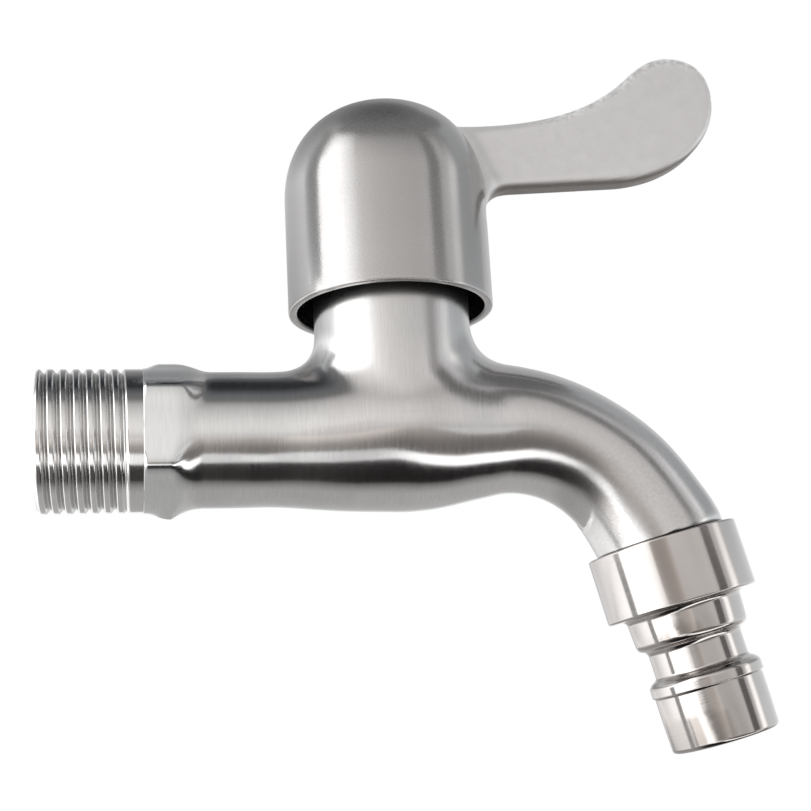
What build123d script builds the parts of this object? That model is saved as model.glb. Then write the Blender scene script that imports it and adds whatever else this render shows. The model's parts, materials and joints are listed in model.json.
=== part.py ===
from build123d import *
import math
import os

# Washing machine tap: cast stainless body, quarter-turn ceramic headwork, domed lever handle
# and a screwed-on stepped hose nozzle. Millimetres, +Z up. The origin lies on the inlet axis
# in the plane where the hex boss meets the wall fitting, and +X points from the wall outwards.

os.makedirs("parts", exist_ok=True)

# Clearances
thread_gap = 0.05
running_gap = 0.05
disc_gap = 0.02
seal_gap = 0.02
loose_gap = 0.15
cut_margin = 1.0  # how far a cutting tool or a hidden root reaches past the face it goes through

# Inlet: G 1/2 male thread, drawn at its major diameter, and the hex boss for the spanner
inlet_thread_d = 20.955
inlet_thread_depth = 1.16
inlet_length = 15.0
inlet_bore_d = 14.5
hex_across_flats = 21.0
hex_length = 5.4
hex_fade = 3.0
hex_corner_round = 1.2
hex_crest_x = 3.5
hex_foot_step = 0.1
hex_fall_pull = 2.1

# Pipe and the swollen chamber under the valve
pipe_d = 20.05
valve_x = 37.8
chamber_half_width = 12.3
chamber_centre_z = 1.2
body_wall = 2.2

# Swelling of the chamber: shares of its full size at offsets from the valve axis
swelling = {-19.0: 0.0, -13.0: 0.23, -7.0: 0.62, 0.0: 1.0, 5.2: 0.86, 8.9: 0.56, 13.0: 0.18}

# Neck that carries the headwork, and the steps of its bore from the outside in
neck_d = 23.9
neck_top_z = 24.0
neck_blend = 5.0
neck_mouth_wall = 1.05
neck_mouth_depth = 1.7
neck_thread_step = 1.0
neck_thread_length = 9.6
neck_thread_depth = 0.6

# Seat under the headwork
seat_z = 0.0
seat_plate = 2.2
seat_bore_d = 9.6
seat_lip_d = 13.0
seat_lip_height = 0.6
low_passage_wall = 3.9
low_passage_z = -0.3
outlet_passage_d = 15.0
outlet_passage_length = 10.0

# Spout: one bend, then a short run that turns on a little towards the collar
bend_start = 15.3  # from the valve axis
bend_centre_z = 1.3
bend_radius = 25.8
bend_angle = 63.9
bend_steps = 4
spout_run_out = 1.69
spout_run_down = 3.35
spout_d_start = 20.2
spout_d_mid = 18.4
spout_d_end = 19.8
spout_flare = 1.3
nozzle_tilt = 13.7

# Screwed joint between spout and nozzle, M20 x 1 drawn at its pitch diameter
spout_thread_d = 19.35
spout_thread_length = 7.2
spout_thread_chamfer = 0.6
spout_bore_d = 15.0

# Hose nozzle, lengths measured along its axis from the collar's top face
collar_d = 23.1
collar_length = 10.2
collar_edge = 0.35
collar_seam = 0.2
shoulder_d = 17.55
shoulder_end = 15.1
shoulder_root = 0.6
shoulder_edge = 0.7
waist_d = 14.4
waist_run_in = 0.9
waist_root = 0.3
ridge_start = 20.0
ridge_run_in = 1.0
ridge_end = 22.6
ridge_d = 17.3
ridge_edge = 0.4
sleeve_d = 16.6
sleeve_edge = 0.5
nozzle_length = 30.9
nozzle_bore_d = 11.0
nozzle_floor = 9.2
nozzle_washer_hole_d = 12.0
filter_thickness = 0.5
filter_hole = 1.1
filter_pitch = 1.7
filter_rim = 0.4

# Headwork: brass housing, spindle, ceramic discs and seals
barrel_gap = 0.9
barrel_wall = 0.65
housing_bottom_z = 2.0
housing_thread_relief = 0.3
housing_thread_run_in = 0.8
housing_hex_flats = 22.0
housing_hex_height = 4.6
housing_hex_bevel = 1.1
housing_top_d = 15.0
housing_top_z = 31.0
housing_shoulder_z = 13.4
window_width = 7.0
window_height = 3.2
window_rise = 0.64  # above the underside of the moving disc
disc_side_gap = 0.25
disc_thickness = 3.2
disc_port_angle = 76.0
disc_port_inner_d = 4.6
disc_port_wall = 1.7
seal_height = 2.8
seal_hole_d = 10.4
seal_core_wall = 0.5
seal_core_inset = 0.25
stem_d = 9.0
stem_flange_height = 2.6
stem_tongue_width = 3.0
stem_tongue_length = 9.0
stem_tongue_height = 1.5
stop_angle = 90.0
stop_lug_angle = 40.0
stop_lug_reach = 0.9
stop_lug_gap = 0.45
stop_gap_angle = 1.0
lug_bearing = 0.0
spline_d = 8.0
spline_depth = 0.45
spline_teeth = 20
spline_length = 12.0
spline_start_z = 34.6
spline_chamfer = 0.6
spline_undercut = 1.0
ring_d = 1.8
ring_squeeze = 0.3
ring_spacing = 5.0
ring_first_z = 18.5
clip_d = 12.4
clip_thickness = 0.9
clip_groove_depth = 0.7
clip_opening = 3.0
housing_ring_d = 1.6
housing_ring_gap = 0.05
noise_screen_height = 1.6
noise_screen_wall = 0.65
noise_screen_pitch = 1.7
noise_screen_hole_d = 1.0

# Domed handle with its lever blade. The blade's reaches are from the valve axis and its
# rises from the dome's shoulder.
dome_d = 31.5
dome_wall = 1.35
dome_crown_wall = 1.75
dome_rim_z = 19.9
dome_shoulder_z = 38.2
dome_height = 15.56
dome_fullness = 0.615
handle_boss_d = 13.6
blade_thickness = 4.4
blade_edge_round = 1.2
blade_root_reach = 3.2
blade_top_rise = 12.75
blade_top_pull = 23.7
blade_inflection_reach = 41.3
blade_inflection_rise = 22.2
blade_inflection_angle = 44.0
blade_inflection_pull = 5.6
blade_crest_reach = 48.5
blade_crest_rise = 26.0
blade_crest_pull = 2.7
blade_crest_entry = 3.7
blade_tip_reach = 55.65
blade_tip_rise = 18.9
blade_tip_pull = 4.05
blade_tip_drop = 7.9
blade_heel_reach = 37.8
blade_heel_rise = 3.6
blade_heel_angle = 4.5
blade_heel_pull = 9.9
blade_root_blend = 1.6

# Splined insert between stem and handle, the grub screw that clamps it and the cap over its hole
insert_d = 10.4
insert_flange_d = 12.6
insert_flange_height = 0.7
insert_end_gap = 0.4
screw_d = 5.0
screw_z = 39.5
screw_hex_flats = 2.5
screw_hex_depth = 2.5
screw_chamfer = 0.7
screw_recess = 2.2
screw_lug = 9.0
screw_cap_d = 6.4
screw_cap_height = 2.0

# Diameters of the neck's bore and of what screws into it, worked out from the outside in
neck_mouth_d = neck_d - 2 * neck_mouth_wall
neck_thread_d = neck_mouth_d - 2 * neck_thread_step
chamber_bore_d = neck_thread_d - 2 * neck_thread_depth
housing_barrel_d = chamber_bore_d - 2 * barrel_gap
housing_cavity_d = housing_barrel_d - 2 * barrel_wall
disc_d = housing_cavity_d - 2 * disc_side_gap
stop_lug_d = housing_cavity_d - 2 * stop_lug_gap
stem_flange_d = stop_lug_d - 2 * stop_lug_reach
stem_bore_d = stem_d + 2 * running_gap
ring_groove_d = stem_bore_d - 2 * ring_d + ring_squeeze
clip_groove_d = stem_d - 2 * clip_groove_depth

# Stack of the headwork, from the seat upwards
seal_low_z = seat_z + seat_lip_height
fixed_disc_z = seal_low_z + seal_height
moving_disc_z = fixed_disc_z + disc_thickness + disc_gap
stem_flange_z = moving_disc_z + disc_thickness + disc_gap
stem_flange_top = stem_flange_z + stem_flange_height
ring_heights = [ring_first_z + ring_spacing * k for k in range(2)]
clip_low_z = housing_top_z + loose_gap
spline_end_z = spline_start_z + spline_length
boss_low_z = spline_start_z
insert_low_z = boss_low_z - insert_flange_height
insert_top_z = spline_end_z + insert_end_gap

# The lugs stand against one stop face when the tap is shut and sweep away from it as it opens
stop_block_angle = 180 - stop_angle - stop_lug_angle - 2 * stop_gap_angle
stop_block_bearing = lug_bearing - stop_lug_angle / 2 - stop_gap_angle - stop_block_angle / 2

# The spout's bend, and the nozzle's plane at its end, with Z along the nozzle
bend_start_x = valve_x + bend_start
bend_end_x = bend_start_x + bend_radius * math.sin(math.radians(bend_angle))
bend_end_z = bend_centre_z - bend_radius * (1 - math.cos(math.radians(bend_angle)))
bend_length = bend_radius * math.radians(bend_angle)
bend_share = bend_length / (bend_length + math.hypot(spout_run_out, spout_run_down))
spout_end_x = bend_end_x + spout_run_out
spout_end_z = bend_end_z - spout_run_down
nozzle_lean = math.radians(nozzle_tilt)
nozzle_plane = Plane((spout_end_x, 0, spout_end_z), x_dir=(0, 1, 0),
                     z_dir=(math.sin(nozzle_lean), 0, -math.cos(nozzle_lean)))
nozzle_axis = Axis(nozzle_plane.origin, nozzle_plane.z_dir)

# Line of the grub screw, out of the dome's +Y side
screw_line = Plane((valve_x, 0, screw_z), z_dir=(0, 1, 0))

UP = (Align.CENTER, Align.CENTER, Align.MIN)
DOWN = (Align.CENTER, Align.CENTER, Align.MAX)


def post(diameter, low, high):
    """Upright cylinder on the valve axis."""
    return Pos(valve_x, 0, low) * Cylinder(diameter / 2, high - low, align=UP)


def rod(diameter, start, end, height=0.0):
    """Cylinder along the pipe, from x = start to x = end."""
    return Plane((start, 0, height), z_dir=(1, 0, 0)) * Cylinder(diameter / 2, end - start, align=UP)


def turned(corners):
    """Solid of revolution about Z from (radius, height, corner radius) triples."""
    points = [(radius, height) for radius, height, _ in corners]
    rounds = [corner for _, _, corner in corners]
    return revolve(Plane.XZ * make_face(FilletPolyline(*points, radius=rounds, close=True)), Axis.Z)


def on_valve(solid):
    """Solid turned about Z, moved onto the valve axis."""
    return Pos(valve_x, 0, 0) * solid


def ring(mean_d, section_d, height):
    """O-ring on the valve axis."""
    return Pos(valve_x, 0, height) * Torus(mean_d / 2, section_d / 2)


def washer(outer_d, inner_d, low, high):
    """Flat ring on the valve axis."""
    return post(outer_d, low, high) - post(inner_d, low, high)


def serration(tip_d):
    """Star outline with as many points as the spline has teeth."""
    points = []
    for k in range(2 * spline_teeth):
        radius = tip_d / 2 - spline_depth * (k % 2)
        angle = math.pi * k / spline_teeth
        points.append((radius * math.cos(angle), radius * math.sin(angle)))
    return make_face(Polyline(*points, close=True))


def sector(outer_d, inner_d, angle, centre=0.0):
    """Flat ring sector, centred on a bearing in degrees."""
    spread = outer_d * math.tan(math.radians(angle / 2))
    wedge = Polyline((0, 0), (outer_d, -spread), (outer_d, spread), close=True)
    return Rot(0, 0, centre) * ((Circle(outer_d / 2) - Circle(inner_d / 2)) & make_face(wedge))


def facing_sectors(outer_d, inner_d, angle, centre=0.0):
    """Two ring sectors across from each other."""
    return sector(outer_d, inner_d, angle, centre) + sector(outer_d, inner_d, angle, centre + 180)


def spout_diameter(share):
    """The spout narrows to mid way and flares again towards the collar."""
    if share < 0.5:
        return spout_d_mid + (spout_d_start - spout_d_mid) * (1 - 2 * share) ** 2
    return spout_d_mid + (spout_d_end - spout_d_mid) * (2 * share - 1) ** spout_flare


def chamber_station(offset):
    """Place, diameter and slope of the body at an offset from the valve axis."""
    share = swelling[offset]
    end_d = pipe_d if offset < 0 else spout_d_start
    end_z = 0.0 if offset < 0 else bend_centre_z
    diameter = end_d + share * (2 * chamber_half_width - end_d)
    lift = share ** 2 if offset < 0 else share
    return valve_x + offset, end_z + lift * (chamber_centre_z - end_z), diameter, 0.0


def bend_station(turn):
    """Place, diameter and slope of the spout after turning by an angle in degrees."""
    x = bend_start_x + bend_radius * math.sin(math.radians(turn))
    z = bend_centre_z - bend_radius * (1 - math.cos(math.radians(turn)))
    return x, z, spout_diameter(turn / bend_angle * bend_share), turn


body_stations = [chamber_station(offset) for offset in swelling]
body_stations += [bend_station(bend_angle * k / bend_steps) for k in range(bend_steps + 1)]
body_stations += [(spout_end_x, spout_end_z, spout_d_end, 90 - nozzle_tilt)]


def body_loft(stations, inset=0.0):
    """Smooth tube through round sections, each inset by a wall."""
    sections = []
    for x, z, diameter, slope in stations:
        lean = math.radians(slope)
        plane = Plane((x, 0, z), x_dir=(0, 1, 0), z_dir=(math.cos(lean), 0, -math.sin(lean)))
        sections.append(plane * Circle(diameter / 2 - inset))
    return loft(sections)


def hex_boss():
    """Spanner boss: a hexagon with rounded corners that swells out of the shank and fades."""
    corner = hex_across_flats / math.sqrt(3) - hex_corner_round * (2 / math.sqrt(3) - 1)
    outline = RegularPolygon(hex_across_flats / 2, 6, major_radius=False, rotation=30)
    outline = fillet(outline.vertices(), hex_corner_round)
    end = hex_length + hex_fade
    prism = Plane.YZ * extrude(outline, end)
    foot = inlet_thread_d / 2 + hex_foot_step
    pipe = pipe_d / 2
    rise = Bezier((0, foot), (hex_crest_x / 3, foot), (hex_crest_x / 2, corner), (hex_crest_x, corner))
    fall = Bezier((hex_crest_x, corner), (hex_crest_x + hex_fall_pull, corner),
                  (end - hex_fall_pull, pipe), (end, pipe))
    sides = Polyline((end, pipe), (end, 0), (0, 0), (0, foot))
    return prism & revolve(Plane.XZ * make_face([rise, fall, sides]), Axis.X)


def neck_root_edges(skin):
    """Edges where the neck meets the chamber."""
    def on_neck(edge):
        points = [edge @ (k / 4) for k in range(5)]
        off_neck = [abs(math.hypot(p.X - valve_x, p.Y) - neck_d / 2) for p in points]
        return max(off_neck) < 0.05 and max(p.Z for p in points) < neck_top_z - 1
    return skin.edges().filter_by(on_neck)


def waterway():
    """Everything hollow in the body, as one solid: inlet, seat, valve chamber and spout."""
    partition_x = valve_x - chamber_bore_d / 2 - body_wall
    inlet = rod(inlet_bore_d, -inlet_length, partition_x)
    low_passage = rod(2 * (chamber_half_width - low_passage_wall), partition_x - 1.5 * cut_margin,
                      valve_x + seat_bore_d / 2 + cut_margin, low_passage_z)
    above_seat = Pos(valve_x, 0, seat_z) * Box(4 * neck_d, 2 * neck_d, neck_top_z, align=UP)
    seat_hole = post(seat_bore_d, low_passage_z - cut_margin, seat_z + seat_lip_height + cut_margin)
    lip = washer(seat_lip_d, seat_bore_d, seat_z, seat_z + seat_lip_height)
    chamber = post(chamber_bore_d, seat_z, neck_top_z) - lip
    chamber += post(neck_thread_d, neck_top_z - neck_thread_length, neck_top_z)
    chamber += post(neck_mouth_d, neck_top_z - neck_mouth_depth, neck_top_z)
    outlet = rod(outlet_passage_d, valve_x + (seat_lip_d + cut_margin) / 2,
                 valve_x + outlet_passage_length, bend_centre_z) & above_seat
    spout_stations = [s for s in body_stations if s[0] > valve_x + outlet_passage_length - 2 * cut_margin]
    spout = body_loft(spout_stations, body_wall)
    mouth = Pos(0, 0, -cut_margin / 2) * Cylinder(spout_bore_d / 2, spout_thread_length + 2 * cut_margin, align=UP)
    below_plate = low_passage - Pos(0, 0, -seat_plate) * above_seat
    return inlet + below_plate + seat_hole + chamber + outlet + spout + nozzle_plane * mouth


def make_tap_body():
    """Cast body with its waterway, threaded shank, hex boss, neck and spout."""
    pipe = rod(pipe_d, 0.0, valve_x + min(swelling))
    neck = post(neck_d, chamber_centre_z, neck_top_z)
    skin = pipe + body_loft(body_stations) + neck
    skin = fillet(neck_root_edges(skin), neck_blend)
    shank = rod(inlet_thread_d, -inlet_length, 0.0)
    skin += chamfer(shank.edges().sort_by(Axis.X)[0], inlet_thread_depth)
    skin += hex_boss()
    stub = Cylinder(spout_thread_d / 2, spout_thread_length + cut_margin, align=UP)
    stub = nozzle_plane * (Pos(0, 0, -cut_margin) * stub)
    skin += chamfer(stub.edges().sort_by(nozzle_axis)[-1], spout_thread_chamfer)
    return skin - waterway()


def stop_block():
    """Stops cast inside the cavity: the stem's lugs turn a quarter between them."""
    outer = housing_cavity_d + barrel_wall
    inner = stem_flange_d + 2 * loose_gap
    faces = facing_sectors(outer, inner, stop_block_angle, stop_block_bearing)
    return Pos(valve_x, 0, stem_flange_z) * extrude(faces, housing_shoulder_z - stem_flange_z)


def make_housing():
    """Brass headwork housing: barrel with windows, thread, groove, hexagon and stem bore."""
    thread_low = neck_top_z - neck_thread_length + housing_thread_relief
    thread_top = neck_top_z - neck_mouth_depth - housing_thread_relief
    head_top = neck_top_z + housing_hex_height
    barrel = post(housing_barrel_d, housing_bottom_z, thread_low + running_gap)
    thread = post(neck_thread_d - 2 * thread_gap, thread_low, thread_top)
    thread = chamfer(thread.edges().sort_by(Axis.Z)[0], housing_thread_run_in)
    relief_d = neck_mouth_d - 2 * (housing_ring_d + housing_ring_gap) - neck_mouth_wall / 2
    relief = post(relief_d, thread_top - running_gap, neck_top_z + running_gap)
    corner = housing_hex_flats / math.sqrt(3)
    waist = corner - housing_hex_bevel / 2
    face = corner - housing_hex_bevel
    bevel = on_valve(turned([(0, neck_top_z, 0), (waist, neck_top_z, 0), (corner, neck_top_z + housing_hex_bevel, 0),
                             (corner, head_top - housing_hex_bevel, 0), (face, head_top, 0), (0, head_top, 0)]))
    hexagon = RegularPolygon(housing_hex_flats / 2, 6, major_radius=False)
    head = bevel & (Pos(valve_x, 0, neck_top_z) * extrude(hexagon, housing_hex_height))
    top = post(housing_top_d, head_top, housing_top_z)
    top = chamfer(top.edges().sort_by(Axis.Z)[-1], housing_hex_bevel / 2)
    shell = barrel + thread + relief + head + top
    shell -= post(housing_cavity_d, housing_bottom_z, housing_shoulder_z)
    shell -= post(stem_bore_d, housing_bottom_z, housing_top_z)
    window = Pos(valve_x, 0, moving_disc_z + window_rise) * Box(2 * housing_barrel_d, window_width, window_height,
                                                               align=UP)
    return shell - window + stop_block()


def disc_ports(low, turn):
    """Two facing ports through a ceramic disc."""
    outer_d = disc_d - 2 * disc_port_wall
    faces = facing_sectors(outer_d, disc_port_inner_d, disc_port_angle, turn)
    return Pos(valve_x, 0, low) * extrude(faces, disc_thickness)


def make_fixed_disc():
    """Lower ceramic disc, keyed in the housing, with two ports."""
    body = post(disc_d, fixed_disc_z, fixed_disc_z + disc_thickness)
    return body - disc_ports(fixed_disc_z, 0.0)


def make_moving_disc():
    """Upper ceramic disc: the same ports a quarter turn on, and a slot for the stem's tongue."""
    top = moving_disc_z + disc_thickness
    body = post(disc_d, moving_disc_z, top) - disc_ports(moving_disc_z, stop_angle)
    slot = Box(stem_tongue_length + 2 * loose_gap, stem_tongue_width + 2 * running_gap,
               stem_tongue_height + loose_gap, align=DOWN)
    return body - Pos(valve_x, 0, top) * slot


def make_stem():
    """Spindle: tongue, stop flange with its lugs, grooved stem and splined end."""
    tongue = Box(stem_tongue_length, stem_tongue_width, stem_tongue_height + disc_gap, align=DOWN)
    tongue = Pos(valve_x, 0, stem_flange_z + disc_gap) * tongue
    flange = post(stem_flange_d, stem_flange_z, stem_flange_top)
    lugs = facing_sectors(stop_lug_d, stem_flange_d - stop_lug_reach, stop_lug_angle, lug_bearing)
    flange += Pos(valve_x, 0, stem_flange_z) * extrude(lugs, stem_flange_height)
    stem_end_z = spline_start_z - spline_undercut
    stem = post(stem_d, stem_flange_top, stem_end_z)
    for height in ring_heights:
        stem -= washer(stem_d + cut_margin, ring_groove_d, height - 0.6 * ring_d, height + 0.6 * ring_d)
    stem -= washer(stem_d + cut_margin, clip_groove_d, clip_low_z - running_gap,
                   clip_low_z + clip_thickness + running_gap)
    teeth = Pos(valve_x, 0, spline_start_z) * extrude(serration(spline_d), spline_length)
    tip_r = spline_d / 2
    teeth &= on_valve(turned([(0, spline_start_z, 0), (tip_r, spline_start_z, 0),
                              (tip_r, spline_end_z - spline_chamfer, 0),
                              (tip_r - spline_chamfer, spline_end_z, 0), (0, spline_end_z, 0)]))
    root = post(spline_d - 2 * spline_depth, stem_end_z, spline_start_z)
    return tongue + flange + stem + root + teeth


def make_stem_ring(height):
    """O-ring in its groove, squeezed between stem and housing."""
    section = (stem_bore_d - ring_groove_d) / 2 - 2 * seal_gap
    return ring(ring_groove_d + section + 2 * seal_gap, section, height)


def make_clip():
    """Spring clip in the stem's groove, open on one side."""
    body = washer(clip_d, clip_groove_d + 2 * seal_gap, clip_low_z, clip_low_z + clip_thickness)
    opening = Box(clip_d, clip_opening, 4 * clip_thickness, align=(Align.MAX, Align.CENTER, Align.CENTER))
    return body - Pos(valve_x, 0, clip_low_z) * opening


def make_noise_screen():
    """Perforated cup that sits in the seat bore and stills the flow."""
    low = seat_z - 1.0
    outer_d = seat_bore_d - 2 * thread_gap
    body = post(outer_d, low, low + noise_screen_height)
    body -= post(outer_d - 2 * noise_screen_wall, low + noise_screen_wall, low + noise_screen_height)
    for spot in Pos(valve_x, 0, low) * GridLocations(noise_screen_pitch, noise_screen_pitch, 3, 3):
        body -= spot * Cylinder(noise_screen_hole_d / 2, 2 * cut_margin)
    return body


def make_thrust_washer():
    """Slippery washer between the stem's flange and the housing's shoulder."""
    return washer(stem_flange_d, stem_bore_d, stem_flange_top + seal_gap, housing_shoulder_z - running_gap)


def make_housing_ring():
    """O-ring under the housing's hexagon, in the mouth of the neck."""
    mean_d = neck_mouth_d - housing_ring_d - 2 * housing_ring_gap
    return ring(mean_d, housing_ring_d, neck_top_z - housing_ring_d / 2 - seal_gap)


def make_seal_core():
    """Stiffening ring pressed into the hole of the seat seal."""
    outer_d = seal_hole_d - 2 * seal_gap
    return washer(outer_d, outer_d - 2 * seal_core_wall, seal_low_z + seal_core_inset,
                  fixed_disc_z - seal_core_inset)


def blade_outline():
    """Side view of the lever: a slim root that sweeps up into a rounded paddle."""
    rise_angle = math.radians(blade_inflection_angle)
    heel_angle = math.radians(blade_heel_angle)
    root_x = valve_x + blade_root_reach
    top_z = dome_shoulder_z + blade_top_rise
    inflection = (valve_x + blade_inflection_reach, dome_shoulder_z + blade_inflection_rise)
    crest = (valve_x + blade_crest_reach, dome_shoulder_z + blade_crest_rise)
    tip = (valve_x + blade_tip_reach, dome_shoulder_z + blade_tip_rise)
    heel = (valve_x + blade_heel_reach, dome_shoulder_z + blade_heel_rise)

    def beside(point, distance, angle):
        return point[0] + distance * math.cos(angle), point[1] + distance * math.sin(angle)

    rise = Bezier((root_x, top_z), (root_x + blade_top_pull, top_z),
                  beside(inflection, -blade_inflection_pull, rise_angle), inflection)
    shoulder = Bezier(inflection, beside(inflection, blade_crest_entry, rise_angle),
                      beside(crest, -blade_crest_pull, 0), crest)
    nose = Bezier(crest, beside(crest, blade_tip_pull, 0), beside(tip, blade_tip_pull, math.pi / 2), tip)
    belly = Bezier(tip, beside(tip, -blade_tip_drop, math.pi / 2), beside(heel, blade_heel_pull, heel_angle), heel)
    root_low = beside(heel, (root_x - heel[0]) / math.cos(heel_angle), heel_angle)
    back = Polyline(heel, root_low, (root_x, top_z))
    return make_face([rise, shoulder, nose, belly, back])


def dome_face(diameter, height, low):
    """Half section of the dome: a straight side and a full, slightly flattened crown."""
    radius = diameter / 2
    top = dome_shoulder_z + height
    crown = Bezier((radius, dome_shoulder_z), (radius, dome_shoulder_z + dome_fullness * height),
                   (dome_fullness * radius, top), (0, top))
    sides = Polyline((0, top), (0, low), (radius, low), (radius, dome_shoulder_z))
    return make_face([crown, sides])


def blade_root_edges(shell):
    """Edges where the blade leaves the dome."""
    def on_root(edge):
        points = [edge @ (k / 4) for k in range(5)]
        reach = [math.hypot(p.X - valve_x, p.Y) for p in points]
        beside_blade = max(abs(p.Y) for p in points) < blade_thickness / 2 + 0.01
        outside = min(p.X for p in points) > valve_x + blade_root_reach + 0.8
        return beside_blade and outside and max(reach) < dome_d / 2 + 0.05 and min(p.Z for p in points) > screw_z
    return shell.edges().filter_by(on_root)


def make_handle():
    """Hollow dome with its lever blade, the boss for the insert and the screw's hole."""
    dome = revolve(Plane.XZ * dome_face(dome_d, dome_height, dome_rim_z), Axis.Z)
    dome = on_valve(Rot(0, 0, 180) * dome)
    blade = extrude(Plane.XZ * blade_outline(), blade_thickness / 2, both=True)
    rims = [e for e in blade.edges() if abs(e.center().Y) > 0.1 and e.center().X > valve_x + blade_root_reach + 1]
    shell = dome + fillet(rims, blade_edge_round)
    shell = fillet(blade_root_edges(shell), blade_root_blend)
    inner_face = dome_face(dome_d - 2 * dome_wall, dome_height - dome_crown_wall, dome_rim_z - cut_margin)
    hollow = on_valve(revolve(Plane.XZ * inner_face, Axis.Z))
    boss = post(handle_boss_d, boss_low_z, dome_shoulder_z + dome_height - dome_wall)
    lug = Pos(valve_x, 0, screw_z) * Box(screw_lug, (dome_d - dome_wall) / 2, screw_lug,
                                         align=(Align.CENTER, Align.MIN, Align.CENTER))
    shell -= hollow - boss - lug
    shell -= post(insert_d + 2 * running_gap, boss_low_z, insert_top_z + loose_gap)
    shell -= screw_line * Cylinder(screw_d / 2 + thread_gap, dome_d, align=UP)
    cap_seat = Cylinder(screw_cap_d / 2 + thread_gap, dome_d / 2, align=UP)
    return shell - screw_line * (Pos(0, 0, dome_d / 2 - screw_cap_height - loose_gap) * cap_seat)


def make_spline_insert():
    """Flanged insert with the spline's teeth inside, which the grub screw clamps on the stem."""
    body = post(insert_d, boss_low_z, insert_top_z)
    body += post(insert_flange_d, insert_low_z, boss_low_z - seal_gap)
    body += post(insert_d, boss_low_z - insert_flange_height / 2, boss_low_z)
    teeth = extrude(serration(spline_d + 2 * running_gap), insert_top_z - insert_low_z)
    return body - Pos(valve_x, 0, insert_low_z) * teeth


def make_set_screw():
    """Grub screw with a hexagon socket, driven in from the back of the dome."""
    start = insert_d / 2 + running_gap
    end = dome_d / 2 - screw_cap_height - screw_recess
    body = Pos(0, 0, start) * Cylinder(screw_d / 2, end - start, align=UP)
    body = chamfer(body.edges().sort_by(Axis.Z)[0], screw_chamfer)
    key = extrude(RegularPolygon(screw_hex_flats / 2, 6, major_radius=False), screw_hex_depth + cut_margin)
    return screw_line * (body - Pos(0, 0, end - screw_hex_depth) * key)


def make_screw_cap():
    """Plastic cap pressed into the screw's hole, flush with the dome."""
    low = dome_d / 2 - screw_cap_height
    blank = screw_line * (Pos(0, 0, low) * Cylinder(screw_cap_d / 2, screw_cap_height + cut_margin, align=UP))
    return blank & post(dome_d - 2 * seal_gap, screw_z - screw_cap_d, screw_z + screw_cap_d)


def make_nozzle():
    """Turned hose nozzle: collar, shoulder, waist, ridge and sleeve round one bore."""
    thread_r = spout_thread_d / 2 + thread_gap
    collar = [(thread_r, collar_seam, 0), (collar_d / 2, collar_seam, collar_edge),
              (collar_d / 2, collar_length, collar_edge)]
    shoulder = [(shoulder_d / 2, collar_length, shoulder_root), (shoulder_d / 2, shoulder_end, shoulder_edge)]
    waist = [(waist_d / 2 + waist_root, shoulder_end, 0), (waist_d / 2, shoulder_end + waist_run_in, waist_root),
             (waist_d / 2, ridge_start, waist_root)]
    ridge = [(ridge_d / 2 - ridge_run_in / 2, ridge_start, ridge_edge),
             (ridge_d / 2, ridge_start + ridge_run_in, ridge_edge), (ridge_d / 2, ridge_end, ridge_edge / 2)]
    sleeve = [(sleeve_d / 2, ridge_end, 0), (sleeve_d / 2, nozzle_length, sleeve_edge)]
    bore = [(nozzle_bore_d / 2, nozzle_length, sleeve_edge), (nozzle_bore_d / 2, nozzle_floor, waist_root),
            (thread_r, nozzle_floor, 0)]
    return nozzle_plane * turned(collar + shoulder + waist + ridge + sleeve + bore)


def make_nozzle_washer():
    """Rubber washer squeezed between the spout's end and the filter."""
    low = spout_thread_length + seal_gap
    high = nozzle_floor - filter_thickness - seal_gap
    outer_r = (spout_thread_d - filter_rim) / 2
    hole_r = nozzle_washer_hole_d / 2
    edge = (high - low) / 6
    return nozzle_plane * turned([(hole_r, low, edge), (outer_r, low, edge), (outer_r, high, edge),
                                  (hole_r, high, edge)])


def make_filter():
    """Filter disc on the nozzle's floor: a plain rim round a net of square holes."""
    face = Circle((spout_thread_d - filter_rim) / 2)
    reach = nozzle_washer_hole_d / 2 - filter_rim
    count = int(2 * reach / filter_pitch)
    for spot in GridLocations(filter_pitch, filter_pitch, count, count):
        if math.hypot(spot.position.X, spot.position.Y) + filter_hole / 2 < reach:
            face -= spot * Rectangle(filter_hole, filter_hole)
    return nozzle_plane * (Pos(0, 0, nozzle_floor - filter_thickness) * extrude(face, filter_thickness))


pieces = {
    "tap_body": make_tap_body(),
    "headwork_housing": make_housing(),
    "housing_o_ring": make_housing_ring(),
    "seat_seal": washer(disc_d, seal_hole_d, seal_low_z, fixed_disc_z),
    "seal_core_ring": make_seal_core(),
    "fixed_disc": make_fixed_disc(),
    "moving_disc": make_moving_disc(),
    "stem": make_stem(),
    "stem_o_ring_lower": make_stem_ring(ring_heights[0]),
    "stem_o_ring_upper": make_stem_ring(ring_heights[1]),
    "thrust_washer": make_thrust_washer(),
    "stem_clip": make_clip(),
    "noise_screen": make_noise_screen(),
    "handle": make_handle(),
    "spline_insert": make_spline_insert(),
    "handle_set_screw": make_set_screw(),
    "screw_cap": make_screw_cap(),
    "hose_nozzle": make_nozzle(),
    "nozzle_washer": make_nozzle_washer(),
    "nozzle_filter": make_filter(),
}

for name, solid in pieces.items():
    export_step(solid, f"parts/{name}.step")
    print(name, len(solid.solids()), round(solid.volume, 1))
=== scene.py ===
# %% [markdown]
# # A wall tap for a washing machine
#
# The tap is a cast stainless body with a threaded inlet, a spanner boss, a swollen valve chamber
# and a bent spout. A domed lever handle sits over the neck, and a turned hose nozzle screws onto
# the spout. Its solids come from a CAD model, which this script loads as a fixed frame. Blender
# adds what the solids leave out: the thread's real form, soft cast blends, turned edges, brushed,
# blasted and polished finishes, and studio light.

# %% Load the frame
import bmesh
import bpy
import json
import math
import numpy as np
from mathutils import Matrix, Vector


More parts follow.
